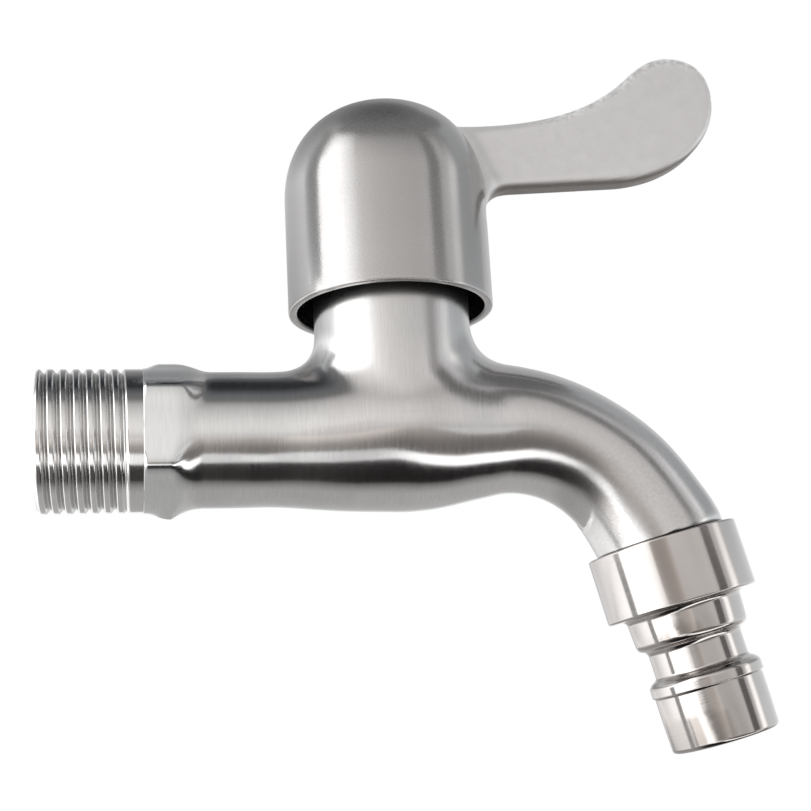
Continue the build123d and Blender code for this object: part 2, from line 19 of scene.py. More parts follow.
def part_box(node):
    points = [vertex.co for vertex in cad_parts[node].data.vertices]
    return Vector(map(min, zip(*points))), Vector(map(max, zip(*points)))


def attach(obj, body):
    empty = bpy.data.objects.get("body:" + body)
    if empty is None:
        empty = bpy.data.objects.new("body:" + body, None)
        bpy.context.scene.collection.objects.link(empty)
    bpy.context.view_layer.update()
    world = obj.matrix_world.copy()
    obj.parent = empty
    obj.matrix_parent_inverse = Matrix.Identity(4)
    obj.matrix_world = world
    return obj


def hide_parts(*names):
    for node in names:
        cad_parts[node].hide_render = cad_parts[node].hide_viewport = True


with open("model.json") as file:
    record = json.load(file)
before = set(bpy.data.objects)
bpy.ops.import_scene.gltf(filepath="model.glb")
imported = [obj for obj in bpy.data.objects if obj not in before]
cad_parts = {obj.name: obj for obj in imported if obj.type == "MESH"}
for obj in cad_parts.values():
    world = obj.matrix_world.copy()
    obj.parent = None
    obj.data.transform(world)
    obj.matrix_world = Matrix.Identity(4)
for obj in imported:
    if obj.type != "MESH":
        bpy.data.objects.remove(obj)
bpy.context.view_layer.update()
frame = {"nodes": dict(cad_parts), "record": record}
nodes = frame["nodes"]
MM = 0.001

# %% [markdown]
# ## How a surface becomes a mesh
#
# Most forms here are functions of two parameters, such as length along a pipe and angle round it.
# numpy works out a whole grid of points at once, and the faces are the cells of that grid. A small
# class collects several grids that share points, so that one closed shell can hold a tube, a neck
# and a bore. Subdivided boxes could give similar forms, but not a thread or an exact fillet.

# %% Grids of points, collected into one skin
class Skin:
    """Grids of points in millimetres, and the faces between them, that become one mesh."""

    def __init__(self):
        self.points = []
        self.faces = []
        self.count = 0

    def add(self, grid):
        """Adds points of shape (rows, columns, 3) and gives the grid of their numbers."""
        rows, columns = grid.shape[:2]
        numbers = self.count + np.arange(rows * columns).reshape(rows, columns)
        self.points.append(grid.reshape(-1, 3))
        self.count += rows * columns
        return numbers

    def weave(self, numbers, keep=None):
        """Quads between neighbouring rows and columns; the last column meets the first."""
        after = np.roll(numbers, -1, axis=1)
        cells = np.stack([numbers[:-1], after[:-1], after[1:], numbers[1:]], axis=-1)
        cells = cells[keep] if keep is not None else cells.reshape(-1, 4)
        self.faces.extend(cells.tolist())

    def close(self, ring, pole):
        """A fan of triangles from a ring of numbers to one point."""
        centre = self.add(np.array(pole, float).reshape(1, 1, 3))[0, 0]
        after = np.roll(ring, -1)
        self.faces.extend([[int(a), int(b), int(centre)] for a, b in zip(ring, after)])

    def at(self, numbers):
        """The points with these numbers."""
        return np.concatenate(self.points)[numbers]

    def piece(self, name):
        """The mesh as an object at the origin, in metres, smooth, with its faces outwards."""
        points = np.concatenate(self.points)
        used = np.zeros(len(points), bool)
        used[np.concatenate([np.array(face) for face in self.faces])] = True
        renumber = np.cumsum(used) - 1
        faces = [renumber[face].tolist() for face in self.faces]
        mesh = bpy.data.meshes.new(name)
        mesh.from_pydata((points[used] * MM).tolist(), [], faces)
        form = bmesh.new()
        form.from_mesh(mesh)
        bmesh.ops.recalc_face_normals(form, faces=form.faces)
        form.to_mesh(mesh)
        form.free()
        mesh.polygons.foreach_set("use_smooth", np.ones(len(mesh.polygons), bool))
        thing = bpy.data.objects.new(name, mesh)
        bpy.context.scene.collection.objects.link(thing)
        print(name, len(mesh.vertices), "points", len(mesh.polygons), "faces")
        return thing


def mark(mesh, name, shares):
    """Keeps a share at each point of a mesh, for its material to read."""
    mesh.attributes.new(name, "FLOAT", "POINT").data.foreach_set("value", np.ravel(shares))


def as_columns(profile):
    """The two numbers of each pair of a profile, as two columns."""
    return np.array(profile, float).T[..., None]


def points_of(x, y, z):
    """Points from their coordinates, each of which may be a grid, a row, a column or one number."""
    return np.stack(np.broadcast_arrays(x, y, z), axis=-1)


def smooth_step(x):
    """Eases from 0 to 1: 3x^2 - 2x^3 on the clipped x."""
    x = np.clip(x, 0, 1)
    return x * x * (3 - 2 * x)


def quadratic(a, b, c, t):
    """Curve from a to c that leans towards b: (1-t)^2 a + 2t(1-t) b + t^2 c."""
    return (1 - t) ** 2 * a + 2 * t * (1 - t) * b + t ** 2 * c


def ring_shares(count):
    """Shares in even steps from just past 0 up to 1, one for each ring of a fan."""
    return np.linspace(0, 1, count + 1)[1:, None, None]


def soft_less(a, b, k):
    """Smooth minimum: min(a, b) - k h^2 / 4, with h = 1 - |a - b| / k."""
    h = np.clip(1 - np.abs(a - b) / k, 0, 1)
    return np.minimum(a, b) - k * h * h / 4


# %% [markdown]
# ## One skin over two forms
#
# The neck stands on the tube, and the lever on the dome, with a soft cast blend. A Boolean union
# would leave a sharp seam and long thin triangles, so the skin is woven: the larger form's grid has
# an opening, and rings lead from the opening's rim to the smaller form. Each point of those rings is
# pulled onto the surface where a smooth minimum of two distances is zero. The blend is full where the
# forms cross squarely and fades where they run alongside each other.

# %% Openings, and the pull onto a blended skin
def opening_rim(ids, rows, columns):
    """Numbers once round a rectangle of a grid, between its first and last rows and columns."""
    first, last = rows
    left, right = columns
    forth = np.arange(left, right) % ids.shape[1]
    back = np.arange(right, left, -1) % ids.shape[1]
    return np.concatenate([ids[first, forth], ids[first:last, right], ids[last, back],
                           ids[last:first:-1, left % ids.shape[1]]])


def opening_cells(shape, rows, columns):
    """Mask of a grid's cells that is False inside the rectangle."""
    keep = np.ones((shape[0] - 1, shape[1]), bool)
    keep[rows[0]:rows[1], np.arange(*columns) % shape[1]] = False
    return keep


def pull(points, first, second, width, rounds=14):
    """Moves points down f = the smooth minimum of two distances, along its own gradient."""
    for _ in range(rounds):
        a, out_a = first(points)
        b, out_b = second(points)
        k = width(points, np.clip((out_a * out_b).sum(-1), 0, 1)) + 1e-6
        h = np.clip(1 - np.abs(a - b) / k, 0, 1)
        f = soft_less(a, b, k)
        share = np.where(a < b, 1 - h / 2, h / 2)[:, None]
        out = share * out_a + (1 - share) * out_b
        points = points - (f / np.maximum((out ** 2).sum(-1), 0.25))[:, None] * out
    return points


def evened(rim_points, fan):
    """Half way from each inner point of a fan to the mean of its four neighbours."""
    whole = np.concatenate([rim_points[None], fan])
    middle = (np.roll(whole, 1, axis=1) + np.roll(whole, -1, axis=1))[1:-1] + whole[:-2] + whole[2:]
    return np.concatenate([0.5 * fan[:-1] + 0.125 * middle, fan[-1:]])


def settled(rim_points, fan, onto, rounds=12, polish=6):
    """Evens out a fan and pulls it back onto the skin, round by round, and polishes it at the end."""
    for _ in range(rounds):
        fan = evened(rim_points, fan)
        fan[:-1] = onto(fan[:-1].reshape(-1, 3), 4).reshape(fan[:-1].shape)
    fan[:-1] = onto(fan[:-1].reshape(-1, 3), 14).reshape(fan[:-1].shape)
    share = smooth_step(np.linspace(3, 0, len(fan)))[:, None, None]
    for _ in range(polish):
        fan = fan + share * (evened(rim_points, fan) - fan)
    return fan


# %% [markdown]
# ## The body's centreline
#
# The casting is one round tube whose centre wanders and whose diameter changes: straight from the
# wall, fatter under the valve, then bent down. A cubic spline through a few stations gives both,
# with no kinks, which polished metal would show at once. The stations repeat the CAD model's sizes.

# %% Stations and a spline through them
valve_x = 37.8
pipe_r = 10.025
chamber_r = 12.3
chamber_z = 1.2
swelling = {-19.0: 0.0, -13.0: 0.23, -7.0: 0.62, 0.0: 1.0, 5.2: 0.86, 8.9: 0.56, 13.0: 0.18}
bend_start_x = 53.1
bend_z = 1.3
bend_radius = 25.8
bend_angle = 63.9
bend_share = 0.885
spout_r = (10.1, 9.2, 9.9)
spout_flare = 1.3
spout_end = np.array([77.96, 0.0, -16.5])
past_spout = 4.0
nozzle_lean = math.radians(13.7)
nozzle_dir = np.array([math.sin(nozzle_lean), 0.0, -math.cos(nozzle_lean)])


def spout_radius(share):
    """Narrows with the square of the distance from mid way, and flares towards the collar."""
    start, middle, end = spout_r
    if share < 0.5:
        return middle + (start - middle) * (1 - 2 * share) ** 2
    return middle + (end - middle) * (2 * share - 1) ** spout_flare


def body_stations():
    """Rows of x, z and radius from the wall to just past the spout's end."""
    rows = [(x, 0.0, pipe_r) for x in (0.0, 5.0, 10.0, 15.0)]
    for offset, share in swelling.items():
        end_r, end_z = (pipe_r, 0.0) if offset < 0 else (spout_r[0], bend_z)
        lift = share ** 2 if offset < 0 else share
        rows.append((valve_x + offset, end_z + lift * (chamber_z - end_z),
                     end_r + share * (chamber_r - end_r)))
    for turn in np.linspace(0, bend_angle, 5):
        angle = math.radians(turn)
        rows.append((bend_start_x + bend_radius * math.sin(angle),
                     bend_z - bend_radius * (1 - math.cos(angle)),
                     spout_radius(turn / bend_angle * bend_share)))
    rows.append((spout_end[0], spout_end[2], spout_r[2]))
    past = spout_end + past_spout * nozzle_dir
    rows.append((past[0], past[2], spout_r[2]))
    return np.array(rows)


def cubic_through(knots, values, at):
    """Natural cubic spline: inner bends M solve a*M0 + 2(a+b)*M1 + b*M2 = 6(slope1 - slope0)."""
    step = np.diff(knots)
    slope = np.diff(values, axis=0) / step[:, None]
    inner = np.arange(1, len(knots) - 1)
    matrix = np.eye(len(knots))
    matrix[inner, inner - 1] = step[:-1]
    matrix[inner, inner] = 2 * (step[:-1] + step[1:])
    matrix[inner, inner + 1] = step[1:]
    right = np.zeros_like(values)
    right[1:-1] = 6 * np.diff(slope, axis=0)
    bend = np.linalg.solve(matrix, right)
    i = np.clip(np.searchsorted(knots, at, side="right") - 1, 0, len(knots) - 2)
    t = (at - knots[i])[:, None]
    h = step[i][:, None]
    first = slope[i] - h * (2 * bend[i] + bend[i + 1]) / 6
    return values[i] + t * first + t ** 2 * bend[i] / 2 + t ** 3 * (bend[i + 1] - bend[i]) / (6 * h)


stations = body_stations()
knots = np.concatenate([[0], np.cumsum(np.hypot(*np.diff(stations[:, :2], axis=0).T))])
line_points = 900
line_knots = np.linspace(0, knots[-2], line_points)
line = cubic_through(knots, stations, line_knots)
line_slope = np.gradient(line, line_knots, axis=0)
line_slope /= np.hypot(line_slope[:, 0], line_slope[:, 1])[:, None]
print("centreline", round(float(knots[-2]), 1), "mm long")

# %% Distances to the tube and the neck
neck_r = 11.95
neck_top = 24.0
neck_blend = 6.0
neck_foot_z = chamber_z + 1
below_gain = 3
search_reach, search_stride = 70, 5


def tube_distance(points):
    """Distance from the skin of the tube: distance to the centreline less the radius there."""
    near = np.abs(line[:, 0][None, :] - points[:, 0][:, None]).argmin(axis=1)
    steps = np.arange(-search_reach, search_reach + 1, search_stride)
    window = np.clip(near[:, None] + steps, 0, len(line) - 1)
    gap = line[window][..., :2] - points[:, None, [0, 2]]
    best = window[np.arange(len(points)), (gap ** 2).sum(-1).argmin(axis=1)]
    offset = ((points[:, [0, 2]] - line[best, :2]) * line_slope[best, :2]).sum(-1)
    centre = line[best] + offset[:, None] * line_slope[best]
    away = points_of(points[:, 0] - centre[:, 0], points[:, 1], points[:, 2] - centre[:, 1])
    reach = np.linalg.norm(away, axis=-1)
    return reach - centre[:, 2], away / reach[:, None]


def neck_distance(points):
    """Distance from the neck's cylinder, growing fast below the neck's foot so that it ends there."""
    away = points - np.array([valve_x, 0, 0])
    away[:, 2] = 0
    reach = np.linalg.norm(away, axis=-1)
    below = np.maximum(0, neck_foot_z - points[:, 2])
    return reach - neck_r + below_gain * below, away / reach[:, None]


def onto_body(points, rounds=14):
    """Pulls points onto tube and neck; the blend's width falls as their directions agree."""
    return pull(points, tube_distance, neck_distance, lambda p, along: neck_blend * (1 - along), rounds)


# %% [markdown]
# ## The spanner boss
#
# Behind the thread the shank swells into a hexagon whose corners were rounded by the casting and
# whose back fades into the pipe. In polar form a hexagon is its half width over the cosine of the
# angle from the nearest flat. The lesser of that and a hump along the pipe is the boss, and the
# greater of that and the pipe is the skin. Both choices are made softly. The two side corners start
# square at the face, while the top and bottom ones rise slowly, and the top one falls away last.

# %% Radius of the boss round the pipe
hex_half = 10.35
hex_corner = 11.85
hex_start = 11.45
hex_rise_top, hex_rise_bottom = 2.6, 3.7
hex_crest_top, hex_crest_bottom = 4.6, 3.9
hex_end_top, hex_end_bottom = 10.0, 8.6
hex_edge_rise = 0.45
hex_fall = 2.2
hex_soft = 0.9
upright_from, upright_fade = 0.6, 0.35
top_from, top_fade = 0.1, 0.6
under_pipe_r = pipe_r - 0.1
join_soft_last, join_soft_first = 0.12, 1.0
shank_r = 10.4775
shank_step = 0.15


def boss_radius(x, theta):
    """Radius of boss and pipe at x, at an angle from the top."""
    turn = (theta + math.pi / 6) % (math.pi / 3) - math.pi / 6
    flat = hex_half / np.cos(math.pi / 6 - np.abs(turn))
    upright = smooth_step((np.abs(np.cos(theta)) - upright_from) / upright_fade)
    topness = smooth_step((np.cos(theta) - top_from) / top_fade)
    start = hex_start + (shank_r + shank_step - hex_start) * upright
    crest_x = hex_crest_bottom + (hex_crest_top - hex_crest_bottom) * topness
    end_x = hex_end_bottom + (hex_end_top - hex_end_bottom) * topness
    slow_rise = hex_rise_bottom + (hex_rise_top - hex_rise_bottom) * topness
    rise_length = hex_edge_rise + (slow_rise - hex_edge_rise) * upright
    rise = start + (hex_corner - start) * smooth_step(x / rise_length)
    past = np.clip((x - crest_x) / (end_x - crest_x), 0, 1)
    fall = (1 - past) ** hex_fall
    left = fall + (1 - smooth_step(past) - fall) * topness
    hump = np.where(x < crest_x, rise, under_pipe_r + (hex_corner - under_pipe_r) * left)
    boss = soft_less(flat, hump, hex_soft)
    join_soft = join_soft_last + (join_soft_first - join_soft_last) * (1 - smooth_step(past))
    return -soft_less(-boss, -np.full_like(boss, pipe_r), join_soft)


# %% Weave the body
boss_end_x, neck_zone_end = 12, 66
around = 160
quarter = around // 4
theta = 2 * np.pi * np.arange(around) / around


def polar_ring(x, z, radius, slope, angle):
    """Circle round the centreline: centre + r (sin t across + cos t up)."""
    up = np.stack([-slope[..., 1], slope[..., 0]], axis=-1)
    upwards = radius * np.cos(angle)
    return points_of(x + upwards * up[..., 0], radius * np.sin(angle), z + upwards * up[..., 1])


def tube_grid(at):
    """Points of the tube at lengths along the centreline and angles from the top."""
    spot = cubic_through(knots, stations, at)
    slope = (cubic_through(knots, stations, at + 1e-3) - cubic_through(knots, stations, at - 1e-3))[:, :2]
    slope /= np.hypot(slope[:, 0], slope[:, 1])[:, None]
    radius = np.where(spot[:, :1] < boss_end_x, boss_radius(spot[:, :1], theta[None, :]), spot[:, 2:])
    return polar_ring(spot[:, :1], spot[:, 1:2], radius, slope[:, None, :], theta[None, :])


def valve_rings(profile, bearing):
    """Rings about the valve's axis from (radius, z) pairs, at bearings from the spout's side."""
    radius, height = as_columns(profile)
    return points_of(valve_x + radius * np.cos(bearing), radius * np.sin(bearing), height)


def inlet_rings(profile, angle):
    """Rings round the inlet's axis from (radius, x) pairs."""
    radius, x = as_columns(profile)
    return polar_ring(x, 0.0, radius, np.array([1.0, 0.0]), angle)


open_reach = 17.5
seam_break = 0.35
open_at = np.interp([valve_x - open_reach, valve_x + open_reach], line[:, 0], line_knots)

# Where the spacing of the tube's rows changes: past the boss's edge, past the boss, and by the neck
row_marks = [0, 1.2, 9, *open_at, knots[-2] - seam_break]
row_counts = [12, 39, 18, 80, 75]
lengths = np.concatenate([np.linspace(start, end, count, endpoint=False)
                          for start, end, count in zip(row_marks, row_marks[1:], row_counts)]
                         + [row_marks[-1:]])
neck_rows = (sum(row_counts[:3]), sum(row_counts[:4]))
neck_columns = (-quarter, quarter)

body = Skin()
tube = tube_grid(lengths)
near_neck = (tube[..., 0] > boss_end_x) & (tube[..., 0] < neck_zone_end)
tube[near_neck] = onto_body(tube[near_neck])
tube_ids = body.add(tube)
body.weave(tube_ids, opening_cells(tube_ids.shape, neck_rows, neck_columns))

# Rings from the opening's rim, by way of a corner under the neck's circle, up to that circle
blend_top = 19.0
rim = opening_rim(tube_ids, neck_rows, neck_columns)
rim_points = body.at(rim)
rim_bearing = np.unwrap(np.arctan2(rim_points[:, 1], rim_points[:, 0] - valve_x))
way_round = np.sign(rim_bearing[-1] - rim_bearing[0])
even = way_round * 2 * np.pi * np.arange(len(rim)) / len(rim)
bearing = even + (rim_bearing - even).mean()
circle = np.stack([valve_x + neck_r * np.cos(bearing), neck_r * np.sin(bearing)], axis=-1)
corner = np.concatenate([circle, np.maximum(chamber_z, rim_points[:, 2:])], axis=1)
top = np.concatenate([circle, np.full((len(circle), 1), blend_top)], axis=1)
fan = quadratic(rim_points, corner, top, ring_shares(43))
fan_ids = np.concatenate([rim[None], body.add(settled(rim_points, fan, onto_body))])
body.weave(fan_ids)

# Neck above the blend, its mouth and the stepped pocket that holds the headwork
mouth_r, mouth_floor = 10.9, 22.3
neck_thread_r, neck_thread_end = 9.9, 14.4
barrel_r = 9.3
lip_r, lip_height = 6.5, 0.6
seat_bore_r, seat_bore_end = 4.8, -2.6
pocket = [(neck_r, 21.0), (neck_r, 23.0), (neck_r, neck_top - 0.4), (neck_r - 0.15, neck_top - 0.1),
          (neck_r - 0.35, neck_top), (mouth_r + 0.1, neck_top), (mouth_r, neck_top - 0.1),
          (mouth_r, mouth_floor), (neck_thread_r, mouth_floor - 0.05), (neck_thread_r, neck_thread_end),
          (barrel_r, neck_thread_end - 0.1), (barrel_r, 0.05), (barrel_r - 0.1, 0.0), (lip_r + 0.1, 0.0),
          (lip_r, 0.1), (lip_r - 0.1, lip_height), (seat_bore_r + 0.1, lip_height),
          (seat_bore_r, lip_height - 0.1), (seat_bore_r, seat_bore_end)]
pocket_ids = np.concatenate([fan_ids[-1:], body.add(valve_rings(pocket, bearing))])
body.weave(pocket_ids)
body.close(pocket_ids[-1], (valve_x, 0, seat_bore_end))

# Wall side: the boss's face and the inlet's bore
bore_r = 7.25
bore_end = 26.0
front = [(10.0, 0.0), (bore_r + 0.1, 0.0), (bore_r, 0.3), (bore_r, 12.0), (bore_r, bore_end)]
bore_ids = np.concatenate([tube_ids[:1], body.add(inlet_rings(front, theta))])
body.weave(bore_ids)
body.close(bore_ids[-1], (bore_end, 0, 0))

# %% [markdown]
# ## Threads
#
# The inlet has the half inch pipe thread: 14 turns an inch. On its grid the radius is a periodic
# function of length along the axis over the pitch plus the angle over a full turn, so the groove
# is a true helix. Crests are flat and grooves round, as a rolled thread looks. The groove runs out
# over the last turn before the boss, and a rounded chamfer cuts the first one. Each point also
# keeps how deep it lies in the groove, so that the material can paint shade into the grooves and
# make them rougher.

# %% Depth of a thread, and the inlet's shank
groove_share = 0.72


def thread_depth(x, angle, pitch):
    """Depth share of a groove, 0 on the crests and 1 in the groove, at length x and angle."""
    phase = (x / pitch + angle / (2 * math.pi)) % 1.0
    return 1 - smooth_step(np.abs(phase - 0.5) * 2 / groove_share)


inlet_pitch = 1.814
inlet_depth = 0.6
inlet_length = 15.0
inlet_shift = 0.47
inlet_lead_in = 0.22
lead_in_slope = 0.95
run_out_from, run_out_to = 1.5, 3.4
shank_theta = 2 * np.pi * np.arange(200) / 200
shank_x = -np.linspace(0, inlet_length, 236)[:, None]
groove = thread_depth(shank_x + inlet_shift, shank_theta[None, :], inlet_pitch)
groove *= smooth_step((-shank_x - run_out_from) / (run_out_to - run_out_from))
lead_in = shank_r - inlet_lead_in + (inlet_length + shank_x) * lead_in_slope
shank_radius = soft_less(shank_r - inlet_depth * groove, lead_in, 0.2)
shank = Skin()
shank_ids = shank.add(polar_ring(shank_x, 0.0, shank_radius, np.array([1.0, 0.0]), shank_theta[None, :]))
inner = [(bore_r + 0.5, -inlet_length), (bore_r + 0.3, -inlet_length), (bore_r, -inlet_length + 0.3),
         (bore_r, -inlet_length + 0.6), (bore_r, -7.0), (bore_r, 1.0), (9.0, 1.0)]
inner_ids = shank.add(inlet_rings(inner, shank_theta))
shank.weave(np.concatenate([shank_ids, inner_ids, shank_ids[:1]]))
inlet_shank = shank.piece("inlet_shank")
mark(inlet_shank.data, "groove", np.concatenate([groove, np.zeros((len(inner), len(shank_theta)))]))

# %% [markdown]
# The spout ends in a fine male thread that the nozzle's collar hides until it is unscrewed. It
# belongs to the body's shell, so that the shell is closed from the collar's seat up into the spout.

# %% The spout's threaded end
spout_thread_from, spout_thread_length = 0.9, 7.2
spout_thread_r = 9.62
spout_thread_depth = 0.5
spout_thread_pitch = 1.0
spout_run_out = 0.8
spout_tip_r, spout_lead_in_slope = 9.0, 0.9
spout_bore_r, spout_bore_depth = 7.5, 6.0
stub_s = np.linspace(spout_thread_from, spout_thread_length, 64)[:, None]
stub_groove = thread_depth(stub_s, theta[None, :], spout_thread_pitch)
stub_groove *= smooth_step((stub_s - spout_thread_from) / spout_run_out)
stub_lead_in = spout_tip_r + (spout_thread_length - stub_s) * spout_lead_in_slope
stub_r = soft_less(spout_thread_r - spout_thread_depth * stub_groove, stub_lead_in, 0.2)
spout_up = np.array([-nozzle_dir[2], 0.0, nozzle_dir[0]])
spout_side = np.array([0.0, 1.0, 0.0])


def spout_rings(radius, along, angle):
    """Rings at radii and distances along the nozzle's axis: end + along d + r (cos t up + sin t side)."""
    across = np.cos(angle)[:, None] * spout_up + np.sin(angle)[:, None] * spout_side
    return spout_end + along[..., None] * nozzle_dir + (radius * np.ones_like(angle))[..., None] * across


spout_edge = [(9.84, -0.2), (9.72, -0.08), (9.55, -0.02), (9.2, 0.0), (9.2, 0.8)]
spout_bore = [(spout_bore_r + 0.2, spout_thread_length), (spout_bore_r, spout_thread_length - 0.2),
              (spout_bore_r, 2.0), (spout_bore_r - 0.1, -3.0), (spout_bore_r - 0.5, -spout_bore_depth)]
end_ids = np.concatenate([tube_ids[-1:], body.add(spout_rings(*as_columns(spout_edge), theta)),
                          body.add(spout_rings(stub_r, stub_s, theta)),
                          body.add(spout_rings(*as_columns(spout_bore), theta))])
body.weave(end_ids)
body.close(end_ids[-1], spout_end - spout_bore_depth * nozzle_dir)
body_skin = body.piece("cast_body")

# %% [markdown]
# ## The hose nozzle
#
# The nozzle was turned from bar: a collar with the thread inside, a shoulder, a waist, a ridge that
# holds a snap-on connector, and a plain sleeve. Its outline is a list of corners, each with its own
# rounding, because a crisp but not knife-sharp edge is what catches the light on turned metal. A
# point just outside each rounding keeps the long straight faces flat in the shading.

# %% A rounded outline, turned about the nozzle's axis
def rounded(corners, steps=6, hold=0.05):
    """Replaces each corner (radius, along, rounding) by a quadratic curve between its two sides."""
    points = np.array([corner[:2] for corner in corners], float)
    cuts = np.array([corner[2] for corner in corners], float)
    before = np.roll(points, 1, axis=0) - points
    after = np.roll(points, -1, axis=0) - points
    t = np.linspace(0, 1, steps)[:, None]
    outline = []
    for point, back, ahead, cut in zip(points, before, after, cuts):
        back = back / np.linalg.norm(back)
        ahead = ahead / np.linalg.norm(ahead)
        start = point + back * cut
        end = point + ahead * cut
        curve = quadratic(start, point, end, t)
        outline.append(np.concatenate([[start + back * hold], curve, [end + ahead * hold]]))
    return np.concatenate(outline)


collar_top, collar_r, collar_end = 0.06, 11.55, 10.2
shoulder_r, shoulder_end = 8.75, 15.1
waist_r, waist_from, waist_to = 7.2, 16.1, 19.8
ridge_r, ridge_from, ridge_to = 8.62, 20.9, 22.4
sleeve_r, sleeve_end = 8.3, 30.9
hose_bore_r = 5.5
socket_r, socket_floor = 9.62, 9.2
nozzle_outline = [(socket_r + 0.13, collar_top, 0.1), (collar_r, collar_top, 0.3),
                  (collar_r, collar_end, 0.4), (9.4, collar_end, 0.3),
                  (shoulder_r + 0.1, 10.75, 0.4), (shoulder_r, 13.0, 0.8),
                  (shoulder_r - 0.15, shoulder_end, 0.7), (7.5, 15.55, 0.25), (waist_r, waist_from, 0.25),
                  (waist_r, waist_to, 0.35), (8.0, 20.25, 0.15), (ridge_r, ridge_from, 0.35),
                  (ridge_r, ridge_to, 0.14), (sleeve_r, 22.62, 0.07), (sleeve_r, 26.0, 0.6),
                  (sleeve_r - 0.1, sleeve_end, 0.6), (hose_bore_r, sleeve_end, 0.5),
                  (hose_bore_r, socket_floor, 0.3), (socket_r, socket_floor, 0.2)]
nozzle = Skin()
nozzle_theta = np.pi / 2 - 2 * np.pi * np.arange(192) / 192
nozzle_ids = nozzle.add(spout_rings(*as_columns(rounded(nozzle_outline)), nozzle_theta))
nozzle.weave(np.concatenate([nozzle_ids, nozzle_ids[:1]]))
hose_nozzle = nozzle.piece("turned_nozzle")

# %% [markdown]
# ## The handle
#
# The handle is one casting: a hollow dome over the headwork with a flat lever that leaves it in a
# soft root. The dome is a turned profile. The lever is a flat bar whose side view has a straight
# underside and four Bezier spans, and its edges are rounded. The distance to such a bar comes from
# two numbers, the distance to the curve in the side view and the distance past the flat faces. As
# with body and neck, one woven skin covers both, with a wide fillet under the lever and a close one
# beside it. The way into the grub screw at the back is a second, round opening.

# %% Curves of the handle in its side view
dome_r = 15.75
dome_rim_z = 19.9
dome_shoulder_z = 38.2
dome_height = 15.56
dome_fullness = 0.615
dome_wall = 1.35
dome_crown_wall = 1.75
lever_half = 2.2
lever_round = 1.2


def bezier(points, steps):
    """Cubic curve (1-t)^3 a + 3(1-t)^2 t b + 3(1-t) t^2 c + t^3 d."""
    t = np.linspace(0, 1, steps)[:, None]
    a, b, c, d = np.array(points, float)
    return (1 - t) ** 3 * a + 3 * (1 - t) ** 2 * t * b + 3 * (1 - t) * t ** 2 * c + t ** 3 * d


def crown(radius, height, steps):
    """Profile (radius, z) from the dome's shoulder to its pole."""
    top = dome_shoulder_z + height
    return bezier([(radius, dome_shoulder_z), (radius, dome_shoulder_z + dome_fullness * height),
                   (dome_fullness * radius, top), (0, top)], steps)


def beside(point, distance, degrees):
    """The point a distance away in a direction."""
    turn = math.radians(degrees)
    return point[0] + distance * math.cos(turn), point[1] + distance * math.sin(turn)


root_top = (valve_x + 3.2, dome_shoulder_z + 12.75)
inflection = (valve_x + 41.3, dome_shoulder_z + 22.2)
crest = (valve_x + 49.2, dome_shoulder_z + 26.2)
tip = (valve_x + 56.1, dome_shoulder_z + 18.9)
heel = (valve_x + 37.9, dome_shoulder_z + 3.55)
rise = 43
underside = 4.5
root_low = (root_top[0], heel[1] - (heel[0] - root_top[0]) * math.tan(math.radians(underside)))
saddle = bezier([root_top, (root_top[0] + 24.5, root_top[1] - 1.2), beside(inflection, -6.5, rise),
                 inflection], 180)
shoulder = bezier([inflection, beside(inflection, 3.7, rise), beside(crest, -3.2, 0), crest], 50)
nose = bezier([crest, beside(crest, 4.4, 0), beside(tip, 4.7, 90), tip], 70)
chin = bezier([heel, beside(heel, 9.9, underside), beside(tip, -7.9, 90), tip], 130)
upper = np.concatenate([saddle[:-1], shoulder[:-1], nose])
lower = np.concatenate([np.linspace(root_low, heel, 110)[:-1], chin])
print("lever tip at", [round(v, 2) for v in tip])

# %% Distances to the dome and the lever
def curve_facts(curve):
    """Unit tangent, right-hand normal and bending of a run of points."""
    along = np.gradient(curve, axis=0)
    step = np.linalg.norm(along, axis=1)
    tangent = along / step[:, None]
    heading = np.unwrap(np.arctan2(tangent[:, 1], tangent[:, 0]))
    return tangent, np.stack([tangent[:, 1], -tangent[:, 0]], axis=-1), np.gradient(heading) / step


def curve_distance(flat, curve, facts):
    """Signed distance from a curve that turns left, past its right side: gap.n + bend s^2 / 2."""
    tangent, normal, bend = facts
    best = ((flat[:, None] - curve[None]) ** 2).sum(-1).argmin(axis=1)
    gap = flat - curve[best]
    s = (gap * tangent[best]).sum(-1)
    out = normal[best] + (bend[best] * s)[:, None] * tangent[best]
    return (gap * normal[best]).sum(-1) + bend[best] * s * s / 2, out / np.linalg.norm(out, axis=1)[:, None]


dome_side = np.stack([np.full(60, dome_r), np.linspace(dome_rim_z - 12, dome_shoulder_z, 60)], axis=-1)
dome_curve = np.concatenate([dome_side[:-1], crown(dome_r, dome_height, 160)])
dome_facts = curve_facts(dome_curve)
lever_curve = np.concatenate([lower, upper[::-1][1:]])
lever_facts = curve_facts(lever_curve)


def dome_distance(points):
    """Distance from the dome: its profile's, in the half plane of each point."""
    across = points[:, :2] - np.array([valve_x, 0])
    reach = np.maximum(np.linalg.norm(across, axis=1), 1e-6)
    far, out = curve_distance(np.stack([reach, points[:, 2]], axis=-1), dome_curve, dome_facts)
    return far, np.concatenate([across / reach[:, None] * out[:, :1], out[:, 1:]], axis=1)


